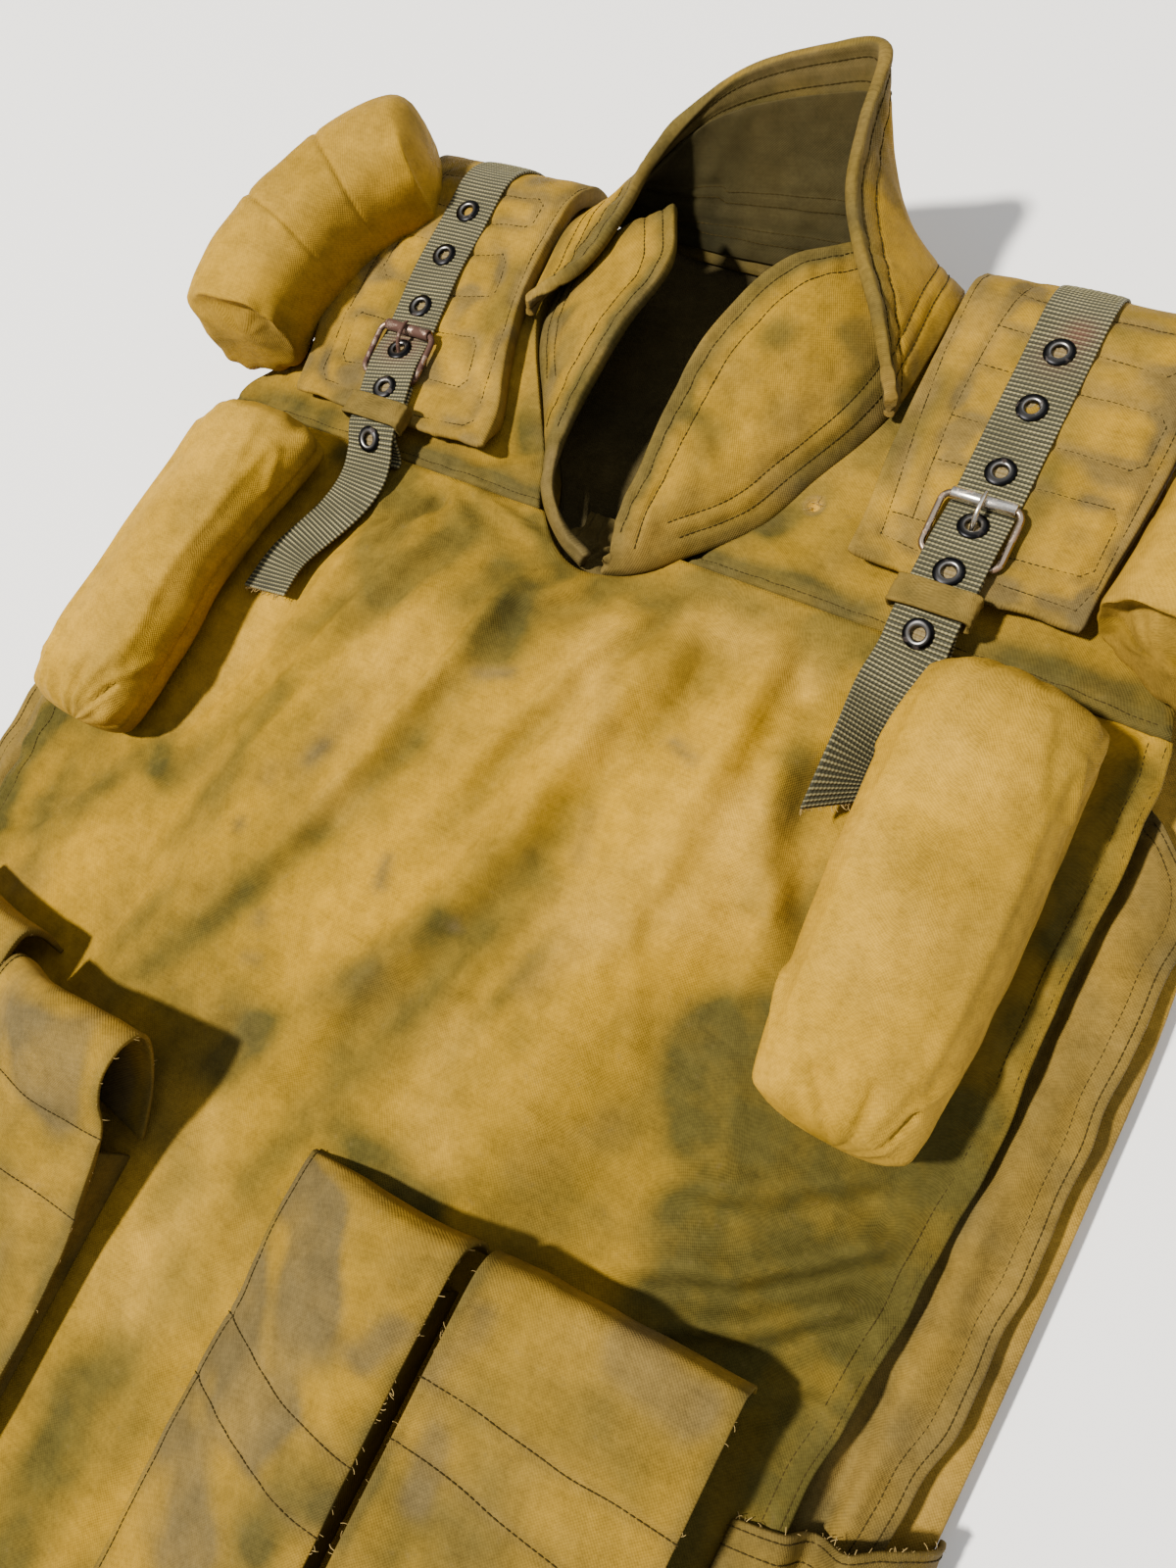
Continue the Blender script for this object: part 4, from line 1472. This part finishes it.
def strap_path(name):
    """Middle line of a strap and its sideways turn, from the fold to the tail."""
    end, rows = STRAPS[name]
    bend = spaced(-30, 90, 1.0)[:-1]
    radius = BEND_R + 0.5 + WEBBING_THICK / 2
    x0 = float(read(rows, "x", np.array(BEND_Y)))
    angle = np.radians(bend)
    first = np.stack([np.full_like(angle, x0), BEND_Y + radius * np.cos(angle),
                      BEND_Z + radius * np.sin(angle)], axis=1)
    y = spaced(BEND_Y, end, 0.55)
    z = read(STRAP_HEIGHT, "z", y) + read(rows, "raise", y)
    second = np.stack([read(rows, "x", y), y, z], axis=1)
    twist = np.concatenate([np.zeros(len(first)), read(rows, "twist", y)])
    return np.concatenate([first, second]), twist


def webbing_frame(path, twist):
    way = unit(np.gradient(path, axis=0))
    side = unit(np.array([1.0, 0, 0]) - way * way[:, :1])
    up = np.cross(side, way)
    up *= np.where(up[:, 2:] < 0, -1, 1)
    turn = np.radians(twist)[:, None]
    turned_side = side * np.cos(turn) - up * np.sin(turn)
    turned_up = up * np.cos(turn) + side * np.sin(turn)
    return turned_side, turned_up


def webbing_strip(name, path, twist, eyelets, soil_rows, cut=0.0):
    side, up = webbing_frame(path, twist)
    run = run_of(path)
    w = np.concatenate([[-WEBBING_HALF, -12.1], spaced(-11.4, 11.4, 1.14), [12.1, WEBBING_HALF]])
    lift = RIB_HIGH * np.sin(2 * math.pi * run / RIB_PITCH)[:,
                                                            None] * (1 - smooth(10.8, 12.4, np.abs(w)))[None]
    lift = lift * (0.7 + 0.3 * np.sin(2 * math.pi * w / (2 * RIB_WIDTH))[None])
    edge_slack = 0.35 * np.sin(run / 9 + 1)[:, None] * (w / WEBBING_HALF)[None] ** 2
    slant = cut * smooth(run[-1] - 24, run[-1], run)[:, None] * (-w / WEBBING_HALF)[None]
    way = unit(np.gradient(path, axis=0))
    centre = path[:, None] + side[:, None] * w[None, :, None] + way[:, None] * slant[..., None]
    soil = np.zeros(centre.shape)
    for eyelet in eyelets:
        off = np.linalg.norm(centre - eyelet[None, None], axis=2)
        hole = off < 3.0
        lift = np.where(off < 5.6, 0.0, lift)
        lift = np.where(hole, -1.2, lift)
        soil[..., 2] = np.where(hole, 0.8, soil[..., 2])
    for row_y, row_x, wide, much, channel in soil_rows:
        spot = np.exp(-(((centre[..., 1] - row_y) ** 2 + (centre[..., 0] - row_x) ** 2) / wide ** 2))
        soil[..., channel] += much * spot
    face = centre + up[:, None] * (WEBBING_THICK / 2 - 0.15 + lift + edge_slack)[..., None]
    back = centre - up[:, None] * (WEBBING_THICK / 2 - 0.15 - edge_slack)[..., None]
    if cut:
        fray(centre[-1], way[-1] + (0, 0, 0.2), 0.5, 301 + len(name), 0.35)
    flat_map = np.stack(np.meshgrid(w, run), axis=2)
    return panel(name, face, back, 0.45, soil, flat_map=flat_map)


def strap_point(name, y):
    rows = STRAPS[name][1]
    place = np.array(float(y))
    height = float(read(STRAP_HEIGHT, "z", place)) + float(read(rows, "raise", place))
    return np.array([float(read(rows, "x", place)), float(y), height])


for name in STRAPS:
    path, twist = strap_path(name)
    if name == "right":
        spots = ((236, 146, 6, 0.45, 0), (224, 142, 8, 0.2, 0), (33, 128, 4, 0.6, 1))
    else:
        spots = ((150, -139, 9, 0.5, 0), (18, -140, 6, 0.4, 1))
    strap = webbing_strip(f"strap_{name}", path, twist, [strap_point(name, y) for y in EYELET_PLACES], spots,
                          8.0 if name == "right" else 2.0)
    dressed(strap, WEBBING, [f"strap_{name}"])

# %% Buckle straps
BASE_STRAP = table("y z", (96, 48.2), (100, 48.6), (103, 52), (105, 57), (107, 59.6), (113, 59.75),
                   (129.5, 59.7))
for name in STRAPS:
    y = spaced(96, 129.5, 0.5)
    x = read(STRAPS[name][1], "x", y)
    path = np.stack([x, y, read(BASE_STRAP, "z", y)], axis=1)
    piece = webbing_strip(f"buckle_strap_{name}", path, 0 * y, [], ())
    dressed(piece, WEBBING, [f"buckle_strap_{name}"])

# %% [markdown]
# ## Eyelets
# Each strap has six blackened steel eyelets, rings pressed round a hole, with rims worn bright. The ring is
# turned once from a small profile, and a Geometry Nodes tree sets a copy on each place, facing up from the
# webbing. They are one mesh, because all of them ride on the same body.

# %% Eyelets
RING_STEPS = 40
EYELET_PROFILE = ((2.7, -0.3), (3.3, -0.35), (3.5, 0.5), (5.2, 0.55), (5.9, 0.75), (6.05, 1.05), (5.7, 1.45),
                  (4.9, 1.75), (4.0, 1.95), (3.3, 1.85), (2.9, 1.5), (2.7, 0.8))
profile = np.array(EYELET_PROFILE)
turn = np.arange(RING_STEPS) / RING_STEPS * 2 * math.pi
ring = np.stack([profile[None, :, 0] * np.cos(turn)[:, None], profile[None, :, 0] * np.sin(turn)[:, None],
                 profile[None, :, 1] + 0 * turn[:, None]], axis=2)
ring_mesh = bpy.data.meshes.new("eyelet_ring")
count = len(profile)
ring_faces = [(i * count + j, (i + 1) % RING_STEPS * count + j,
               (i + 1) % RING_STEPS * count + (j + 1) % count,
               i * count + (j + 1) % count) for i in range(RING_STEPS) for j in range(count)]
ring_mesh.from_pydata((ring.reshape(-1, 3) * MM).tolist(), [], ring_faces)
worn_rim = np.tile(np.array([0, 0, 0, 0, 0, 0.05, 0, 0, 0.12, 0.5, 0.3, 0]), RING_STEPS)
rim_layer = ring_mesh.color_attributes.new("soil", "FLOAT_COLOR", "POINT")
rim_values = np.zeros((len(worn_rim), 4))
rim_values[:, 2] = worn_rim
rim_values[:, 3] = 1
rim_layer.data.foreach_set("color", rim_values.ravel())
ring_mesh.shade_smooth()
ring_object = linked("eyelet_ring", ring_mesh)

setting, setting_in, setting_out = geometry_tree("set_eyelets", (
    ("Eyelet", "NodeSocketObject"), ("Size", "NodeSocketFloat"), ("Metal", "NodeSocketMaterial")))
way_up = put(setting, "GeometryNodeInputNamedAttribute", {"Name": "way_up"}, data_type="FLOAT_VECTOR")
ring_facing = put(setting, "FunctionNodeAlignRotationToVector", {"Vector": way_up.outputs[0]}, axis="Z")
ring_source = put(setting, "GeometryNodeObjectInfo", {"Object": setting_in.outputs["Eyelet"]})
set_rings = put(setting, "GeometryNodeInstanceOnPoints",
                {"Points": setting_in.outputs["Geometry"], "Instance": ring_source.outputs["Geometry"],
                 "Rotation": ring_facing.outputs[0], "Scale": setting_in.outputs["Size"]})
real_rings = put(setting, "GeometryNodeRealizeInstances", {0: set_rings.outputs[0]})
ring_finish = put(setting, "GeometryNodeSetMaterial", {"Geometry": real_rings.outputs[0],
                                                      "Material": setting_in.outputs["Metal"]})
setting.links.new(ring_finish.outputs[0], setting_out.inputs[0])

places = []
ways = []
for name in STRAPS:
    for y in EYELET_PLACES:
        here = strap_point(name, y)
        way = unit(strap_point(name, y + 2) - strap_point(name, y - 2))
        places.append(here)
        ways.append(unit(np.cross([1, 0, 0], way)))
eyelets = grown("eyelets", setting, point_object("eyelet_places", places, "way_up", ways),
                {"Eyelet": ring_object, "Size": 1.0, "Metal": BLACK_STEEL})
bpy.data.objects.remove(ring_object)
dressed(eyelets, BLACK_STEEL, [f"eyelet_{name}_{k}" for name in STRAPS for k in range(1, 7)])

# %% [markdown]
# ## Buckles and keepers
# A wire frame with a rolled tube over its upper bar, and a prong through one eyelet. Frame and prong are tubes
# round a smooth route. The keepers are folded loops of the vest's own cloth.

# %% Tubes
def tube(name, route, radii, around, closed=False, soil=(0, 0, 0)):
    """A round tube along a route, closed on itself or capped."""
    route = np.asarray(route, float)
    way = unit(np.roll(route, -1, axis=0) - np.roll(route, 1, axis=0) if closed
               else np.gradient(route, axis=0))
    out = unit(np.cross(way, [0.0, 0.0, 1.0] if closed else [1.0, 0, 0]))
    up = np.cross(out, way)
    turn = np.arange(around) / around * 2 * math.pi
    radii = np.broadcast_to(np.asarray(radii, float), (len(route),))[:, None, None]
    round_way = out[:, None] * np.cos(turn)[None, :, None] + up[:, None] * np.sin(turn)[None, :, None]
    rings = route[:, None] + radii * round_way
    if not closed:
        return stuffed(name, rings, np.zeros(rings.shape))
    points = rings.reshape(-1, 3)
    return new_object(name, points, looped(rings), points[:, :2], np.zeros(points.shape) + soil)


# %% Buckles
BUCKLE = {"low": 134.2, "high": 158, "low_z": 59.4, "high_z": 63.4, "half": 15.5, "wire": 1.4, "corner": 4}
ROLLER = {"half": 12.7, "inner": 1.8, "outer": 2.6}
ROLLER_SIDES, KEEPER_SIDES = 36, 96
PRONG = ((136.9, 59.6), (142, 59.2), (145.4, 59.3), (147.3, 61.4), (149, 64.2), (152, 66.6), (157, 67.5),
         (160.5, 66.6))
for name, steel, slot in (("right", BRIGHT_STEEL, "bright_steel"), ("left", RUSTY_STEEL, "rusty_steel")):
    middle_y, half_y = (BUCKLE["low"] + BUCKLE["high"]) / 2, (BUCKLE["high"] - BUCKLE["low"]) / 2
    centre_x = float(read(STRAPS[name][1], "x", np.array(middle_y)))
    route = []
    for quarter in range(4):
        sign_x, sign_y = (1 if quarter in (0, 3) else -1), (1 if quarter < 2 else -1)
        for k in range(9):
            angle = (quarter + k / 8) * math.pi / 2
            x = sign_x * (BUCKLE["half"] - BUCKLE["corner"]) + BUCKLE["corner"] * math.cos(angle)
            y = sign_y * (half_y - BUCKLE["corner"]) + BUCKLE["corner"] * math.sin(angle)
            z = mix(BUCKLE["low_z"], BUCKLE["high_z"], (y + half_y) / (2 * half_y))
            route.append((centre_x + x, middle_y + y, z))
    wire = tube(f"buckle_frame_{name}", route, BUCKLE["wire"], 14, closed=True,
                soil=(0.75 if name == "right" else 0.2, 0, 0))
    dressed(wire, steel, [f"buckle_frame_{name}"])
    turn = np.arange(ROLLER_SIDES) / ROLLER_SIDES * 2 * math.pi
    half_long = ROLLER["half"]
    inner, outer = ROLLER["inner"], ROLLER["outer"]
    section = ((-half_long, inner), (-half_long, outer - 0.2), (-half_long + 0.3, outer), (0, outer - 0.06),
               (half_long - 0.3, outer), (half_long, outer - 0.2), (half_long, inner), (0, inner))
    rings = np.array([[(centre_x + x, BUCKLE["high"] + r * math.cos(a), BUCKLE["high_z"] + r * math.sin(a))
                       for x, r in section] for a in turn])
    points = rings.reshape(-1, 3)
    roller = new_object(f"buckle_roller_{name}", points, looped(rings), points[:, :2], np.zeros(points.shape))
    dressed(roller, steel, [f"buckle_roller_{name}"])
    prong_x = float(read(STRAPS[name][1], "x", np.array(148.0)))
    points = np.array(PRONG)
    run = run_of(points)
    fine = np.linspace(0, run[-1], 42)
    rows = {"s": run, "y": points[:, 0], "z": points[:, 1]}
    route = np.stack([np.full_like(fine, prong_x), read(rows, "y", fine, "s"), read(rows, "z", fine, "s")],
                     axis=1)
    radii = 1.0 * (1 - 0.35 * smooth(0.85, 1, fine / run[-1]))
    prong = tube(f"buckle_prong_{name}", route, radii, 12)
    dressed(prong, steel, [f"buckle_prong_{name}"])

# %% Keepers
KEEPER = {"low": 108.4, "high": 120.4, "half": 16.6, "tall": 5, "z": 61.65, "cloth": 1.5}
for name in STRAPS:
    centre_x = float(read(STRAPS[name][1], "x", np.array((KEEPER["low"] + KEEPER["high"]) / 2)))
    turn = (np.arange(KEEPER_SIDES) + 0.5) / KEEPER_SIDES * 2 * math.pi
    seed = 141 if name == "right" else 145
    shape = []
    widths = [KEEPER["low"], KEEPER["low"] + 0.4, *spaced(KEEPER["low"] + 1.2, KEEPER["high"] - 1.2, 1.0),
              KEEPER["high"] - 0.4, KEEPER["high"]]
    outer_row = [(0.3 if k in (0, len(widths) - 1) else 0.0, y) for k, y in enumerate(widths)]
    inner_row = [(KEEPER["cloth"], widths[-1]), (KEEPER["cloth"], widths[0])]
    for inset, y in outer_row + inner_row:
        lines = 0.35 * (ridge(y - KEEPER["low"] - 2.2, 0.7) + ridge(KEEPER["high"] - 2.2 - y, 0.7))
        swell = 0.35 * hills(turn * 14, y + 0 * turn, 6, seed) - lines if inset == 0.0 else 0 * turn
        x = centre_x + (KEEPER["half"] - inset + swell) * squared(np.cos(turn), 0.4)
        z = KEEPER["z"] + (KEEPER["tall"] - inset + swell) * squared(np.sin(turn), 0.4)
        shape.append(np.stack([x, y + 0.4 * np.sin(turn * 2), z], axis=1))
    rings = np.array(shape)
    points = rings.reshape(-1, 3)
    flat = np.stack([np.tile(turn * 10, rings.shape[0]), points[:, 1]], axis=1)
    soil = np.stack([0.3 + 0.4 * hills(points[:, 0], points[:, 1], 8, seed), 0.4 + 0 * points[:, 0],
                     0.1 + 0.2 * hills(points[:, 0], points[:, 1], 5, seed + 1)], axis=1)
    keeper = new_object(f"keeper_{name}", points, looped(rings), flat, soil)
    dressed(keeper, SHADED, [f"keeper_{name}"])

# %% [markdown]
# ## Magazine pouches
# Four pouches stand on the lower front. Each is a shallow bag under a long flap that starts at a hinge seam,
# rises over the bag's mouth and lies down the front. Two rows of stitching hold its hidden fastener, and its
# side edges are raw and frayed. One flap is looped open, one is sewn down along its left edge.

# %% Flap tables
FLAP_COLUMNS = "yl zl yr zr"
POUCHES = (
    (1, -209, -138, 1, -182, table(FLAP_COLUMNS, (-163, 1.5, -168, 1.7), (-159, 12, -164, 12),
                                   (-158, 22, -163, 22),
                                   (-163, 29, -169, 29), (-190, 30, -195, 30), (-222, 29, -226, 29),
                                   (-262, 28, -266, 28), (-300, 26, -304, 26), (-342, 23, -345, 23))),
    (2, -132, -42, 1, -216, table(FLAP_COLUMNS, (-196, 3, -206, 3), (-186, 10, -186, 13),
                                  (-178, 18, -171, 25),
                                  (-173, 26, -164, 36), (-174, 32, -169, 45), (-182, 35, -181, 47.5),
                                  (-192, 34, -193, 42), (-206, 31, -205, 31), (-227, 27, -226, 22.5),
                                  (-259, 22, -259, 15), (-292, 20, -292, 13), (-344, 17, -345, 11))),
    (3, 27, 104, 1.8, -186, table(FLAP_COLUMNS, (-172, 1.9, -168, 1.8), (-172.6, 3.8, -164, 12),
                                  (-174, 4.6, -164, 23),
                                  (-181, 5.4, -171, 30), (-204, 5, -198, 31), (-240, 4.6, -238, 30.5),
                                  (-269, 4.4, -264, 29), (-303, 4, -300, 26), (-346, 3.4, -345, 22))),
    (4, 111, 203, 1, -180, table(FLAP_COLUMNS, (-169, 2.7, -160, 2.6), (-165, 12, -156, 12),
                                 (-164, 22, -155, 23),
                                 (-170, 29.5, -160, 31), (-196, 30, -190, 33), (-222, 29, -220, 32),
                                 (-262, 28, -262, 30), (-300, 26, -300, 28), (-345, 23, -345, 25))),
)
FLAP_ROWS_SEWN = {1: (-214, -240), 2: (-214, -246), 3: (-238, -262), 4: (-205, -228)}
FLAP_ROW_SLANT = {1: 0.06, 2: 0.06, 3: -0.06, 4: 0.0}
FLAP_STAINS = {
    1: (((-180, -200, -160, -300, 26, 0.35),), ((-170, -175, -150, -260, 22, 0.3),)),
    2: (((-60, -200, -70, -320, 30, 0.35),),
        ((-110, -200, -60, -190, 24, 0.55), (-90, -260, -80, -330, 25, 0.4))),
    3: (((85, -260, 70, -340, 22, 0.45), (104, -210, 102, -260, 7, 0.3)),
        ((46, -186, 68, -222, 15, 0.95), (32, -236, 56, -256, 13, 0.9), (40, -284, 60, -298, 19, 0.8),
         (96, -196, 92, -212, 8, 0.5), (76, -240, 70, -262, 10, 0.4), (30, -180, 30, -300, 7, 0.5))),
    4: (((120, -200, 190, -330, 60, 0.4), (170, -170, 190, -180, 18, 0.3)),
        ((150, -160, 192, -168, 14, 0.4), (116, -180, 124, -240, 9, 0.35), (140, -250, 180, -300, 26, 0.2))),
}
POCKET_CLOTH, POCKET_FOOT_Y, BODY_GAP = 2, -367, 3.2  # the gap between a flap and the bag under it
FRAY_GAPS = {1: (14, 9), 2: (16, 9), 3: (12, 3.5), 4: (9, 12)}  # between loose threads, left edge and right


def flap_grid(left, right, curve, rows, u, v):
    """The flap's face: v is a place in the rows and u across it."""
    index = np.arange(len(rows["yl"]), dtype=float)
    keyed = dict(rows, row=index)
    columns = {column: read(keyed, column, v, "row") for column in ("yl", "zl", "yr", "zr")}
    y = mix(columns["yl"], columns["yr"], u)
    x = mix(left, right, u)
    bent = 1 - (1 - u) ** curve
    return np.stack([x, y, front_top(x, y) + mix(columns["zl"], columns["zr"], bent)], axis=-1)


def flap_lift(number, curve, rows, u, y):
    """Height of the lying flap above the chest, at a place across it and a y."""
    start = 5 if number == 2 else 3
    lift = np.zeros(np.broadcast(u, y).shape)
    bent = 1 - (1 - u) ** curve
    for k in range(start, len(rows["yl"]) - 1):
        y0, y1 = mix(rows["yl"][k], rows["yr"][k], u), mix(rows["yl"][k + 1], rows["yr"][k + 1], u)
        t = np.clip((y - y0) / (y1 - y0), 0, 1)
        here = mix(mix(rows["zl"][k], rows["zr"][k], bent), mix(rows["zl"][k + 1], rows["zr"][k + 1], bent),
                   t)
        lift = np.where((y <= y0) | (k == start), here, lift)
    return lift


# %% Pouch flaps
def sewn_at(number, left, row_y, x):
    """The y of a sewn row on a pouch flap: slanted a little, and wavy."""
    wave = (0.8 if number == 3 else 2.2) * hills(x, row_y + 0 * x, 24, 160 + number)
    return row_y + FLAP_ROW_SLANT[number] * (x - left) + wave


for number, left, right, curve, mouth, rows in POUCHES:
    seed = 150 + 10 * number
    last = len(rows["yl"]) - 1
    turning = 6.5 if number == 2 else 3.6
    v_places = np.concatenate([spaced(0, turning, 0.09), spaced(turning, last, 0.055)[1:]])
    v, u = np.meshgrid(v_places, spaced(0, 1, 2.1 / (right - left)), indexing="ij")
    middle = flap_grid(left, right, curve, rows, u, v)
    normal = outward_normals(middle, middle.shape[0] // 2 + 8, middle.shape[1] // 2, 2)
    x, y = middle[..., 0], middle[..., 1]
    lying = smooth(turning - 0.6, turning + 0.3, v)
    edge = np.minimum(x - left, right - x)
    relief = 0.9 * hills(x, y, 30, seed) + 0.35 * hills(x, y, 11, seed + 1)
    relief = relief + 1.1 * hills(x * 0.3, y, 17, seed + 2) * ridge(edge, 12)
    for row_y in FLAP_ROWS_SEWN[number]:
        relief = relief - 0.8 * ridge(y - sewn_at(number, left, row_y, x), 1.3) * lying
    relief = relief - 0.5 * ridge(x - left - 2.4, 1.3)
    face = middle + normal * (relief * smooth(0, 1.5, v))[..., None]
    back = middle - normal * POCKET_CLOTH
    olive_rows, grey_rows = FLAP_STAINS[number]
    soil = edge_soil(face, 0.5, 0.15, 3.5, seed + 3, (0.32, 0.24, 0.0))
    soil[..., 0] += strokes(x, y, olive_rows, 0.8, seed + 4)
    soil[..., 1] += 0.8 * smooth(0.2, 0.62, strokes(x, y, grey_rows, 0.9, seed + 5))
    for row_y in FLAP_ROWS_SEWN[number]:
        soil[..., 1] += 0.3 * ridge(y - sewn_at(number, left, row_y, x), 2.5) * lying
    flap = panel(f"pouch_flap_{number}", face, back, 0.5, soil)
    dressed(flap, KHAKI, [f"pouch_flap_{number}"])
    for row_y in FLAP_ROWS_SEWN[number]:
        route = []
        for column in range(u.shape[1]):
            target = sewn_at(number, left, row_y, x[0, column])
            below = y[:, column] - target
            lying_rows = np.nonzero((below[:-1] >= 0) & (below[1:] < 0) & (v[:-1, column] > turning - 0.5))[0]
            if len(lying_rows):
                k = lying_rows[-1]
                t = below[k] / (below[k] - below[k + 1])
                route.append(mix(face[k, column], face[k + 1, column], t) + (0, 0, 0.2))
        if len(route) > 3:
            sew(route)
    if number != 4:
        sew(face[8::2, 1] + normal[8::2, 1] * 0.2)
    for column, away, gap in ((0, -1, FRAY_GAPS[number][0]), (-1, 1, FRAY_GAPS[number][1])):
        fray((face[4:, column] + back[4:, column]) / 2, (away, 0, 0.3), gap, seed + 7 + away)

# %% Pouch bodies
for number, left, right, curve, mouth, rows in POUCHES:
    seed = 200 + 10 * number
    wide = right - left
    start = 0.16 if curve > 1 else 3 / wide
    end = 1 - 3 / wide
    y_places = np.concatenate([spaced(mouth, POCKET_FOOT_Y + 12, 5), [-360, -363.5, -366, POCKET_FOOT_Y]])
    shares = np.concatenate([[0, 0.004, 0.01, 0.02], spaced(0.05, 0.95, 0.045), [0.98, 0.99, 0.996, 1]])

    def body(cloth):
        grid = []
        for y in y_places:
            u = mix(start + cloth / wide, end - cloth / wide, shares)
            x = mix(left, right, u)
            foot = 1.1
            rise = smooth(0, 0.02, shares) * (1 - smooth(0.98, 1, shares))
            rise = rise * (1 - smooth(-361, -366.9, np.array(y)))
            under = flap_lift(number, curve, rows, u, np.full_like(u, y)) - POCKET_CLOTH - BODY_GAP - cloth
            under = under - 1.0 * hills(x, y + 0 * x, 18, seed)
            lift = mix(foot, np.maximum(under, foot + 1), rise)
            row_y = np.full_like(x, y + (cloth if y == POCKET_FOOT_Y else 0))
            grid.append(np.stack([x, row_y, front_top(x, y) + lift], axis=1))
        return np.array(grid)

    face, back = body(0), body(POCKET_CLOTH)
    piece = panel(f"pouch_body_{number}", face, back, 0.4,
                  edge_soil(face, 0.4, 0.3, 9, seed + 1, (0.3, 0.15, 0.0)))
    dressed(piece, SHADED, [f"pouch_body_{number}"])

# %% [markdown]
# ## Side belts
# A band closes each side, from the front margin round to the back section's edge. Its stitched top edge is
# frayed.

# %% Side belts
BELT_LOW, BELT_CLOTH, BELT_TALL = -292, 2.5, 100
BELT_PATH = table("s x z top", (0, 214, 0, -198), (0.25, 231, 0, -193), (0.45, 246, 41.5, -188),
                  (0.62, 260, 36.5, -181),
                  (0.78, 270.5, 27.5, -177), (0.9, 275.4, 17, -176), (1, 276.2, 6, -176))
for side, name in ((RIGHT, "right"), (LEFT, "left")):
    seed = 251 if side > 0 else 255
    v, s = np.meshgrid(spaced(0, 1, 0.022), spaced(0, 1, 0.025), indexing="ij")
    x = side * read(BELT_PATH, "x", s, "s")
    y = mix(BELT_LOW, read(BELT_PATH, "top", s, "s"), v)
    on_front = front_top(x, y) + 4
    z = mix(on_front, read(BELT_PATH, "z", s, "s"), smooth(0.25, 0.45, s))
    middle = np.stack([x, y, z], axis=2)
    normal = outward_normals(middle, 10, 2, 2)
    place = flat_map_of(middle)
    along, up = place[..., 0], place[..., 1]
    relief = 0.7 * hills(along, up, 17, seed) - 0.3 + 0.25 * hills(along, up, 6, seed + 1)
    relief = relief + rows_of_sewing((1 - v) * BELT_TALL, (3, 9), 0.6, 1.2)
    face = middle + normal * relief[..., None]
    back = middle - normal * BELT_CLOTH
    belt = panel(f"side_belt_{name}", face, back, 0.6,
                 edge_soil(face, 0.4, 0.3, 9, seed + 2, (0.25, 0.2, 0.0)))
    dressed(belt, SHADED, [f"side_belt_{name}"])
    for row in (-2, -5):
        sew(face[row] + normal[row] * 0.2)
    fray((face[-1] + back[-1]) / 2, (0, 1, 0.25), 2.6, seed + 5)

# %% All stitches
threads = grown("sewn_threads", sewing, route_object("sewn_routes", sewn_rows),
                dict(STITCH, Seed=7, Thread=THREAD))
print("stitched rows", len(sewn_rows))
dressed(threads, THREAD, [])

# %% All loose threads
fray_object = point_object("fray_places", fray_places, "way_out", fray_ways)
frays = grown("loose_threads", fraying, fray_object, dict(FRAY_SIZES, Seed=11, Thread=FRAY))
print("loose threads", len(fray_places))
dressed(frays, FRAY, [])
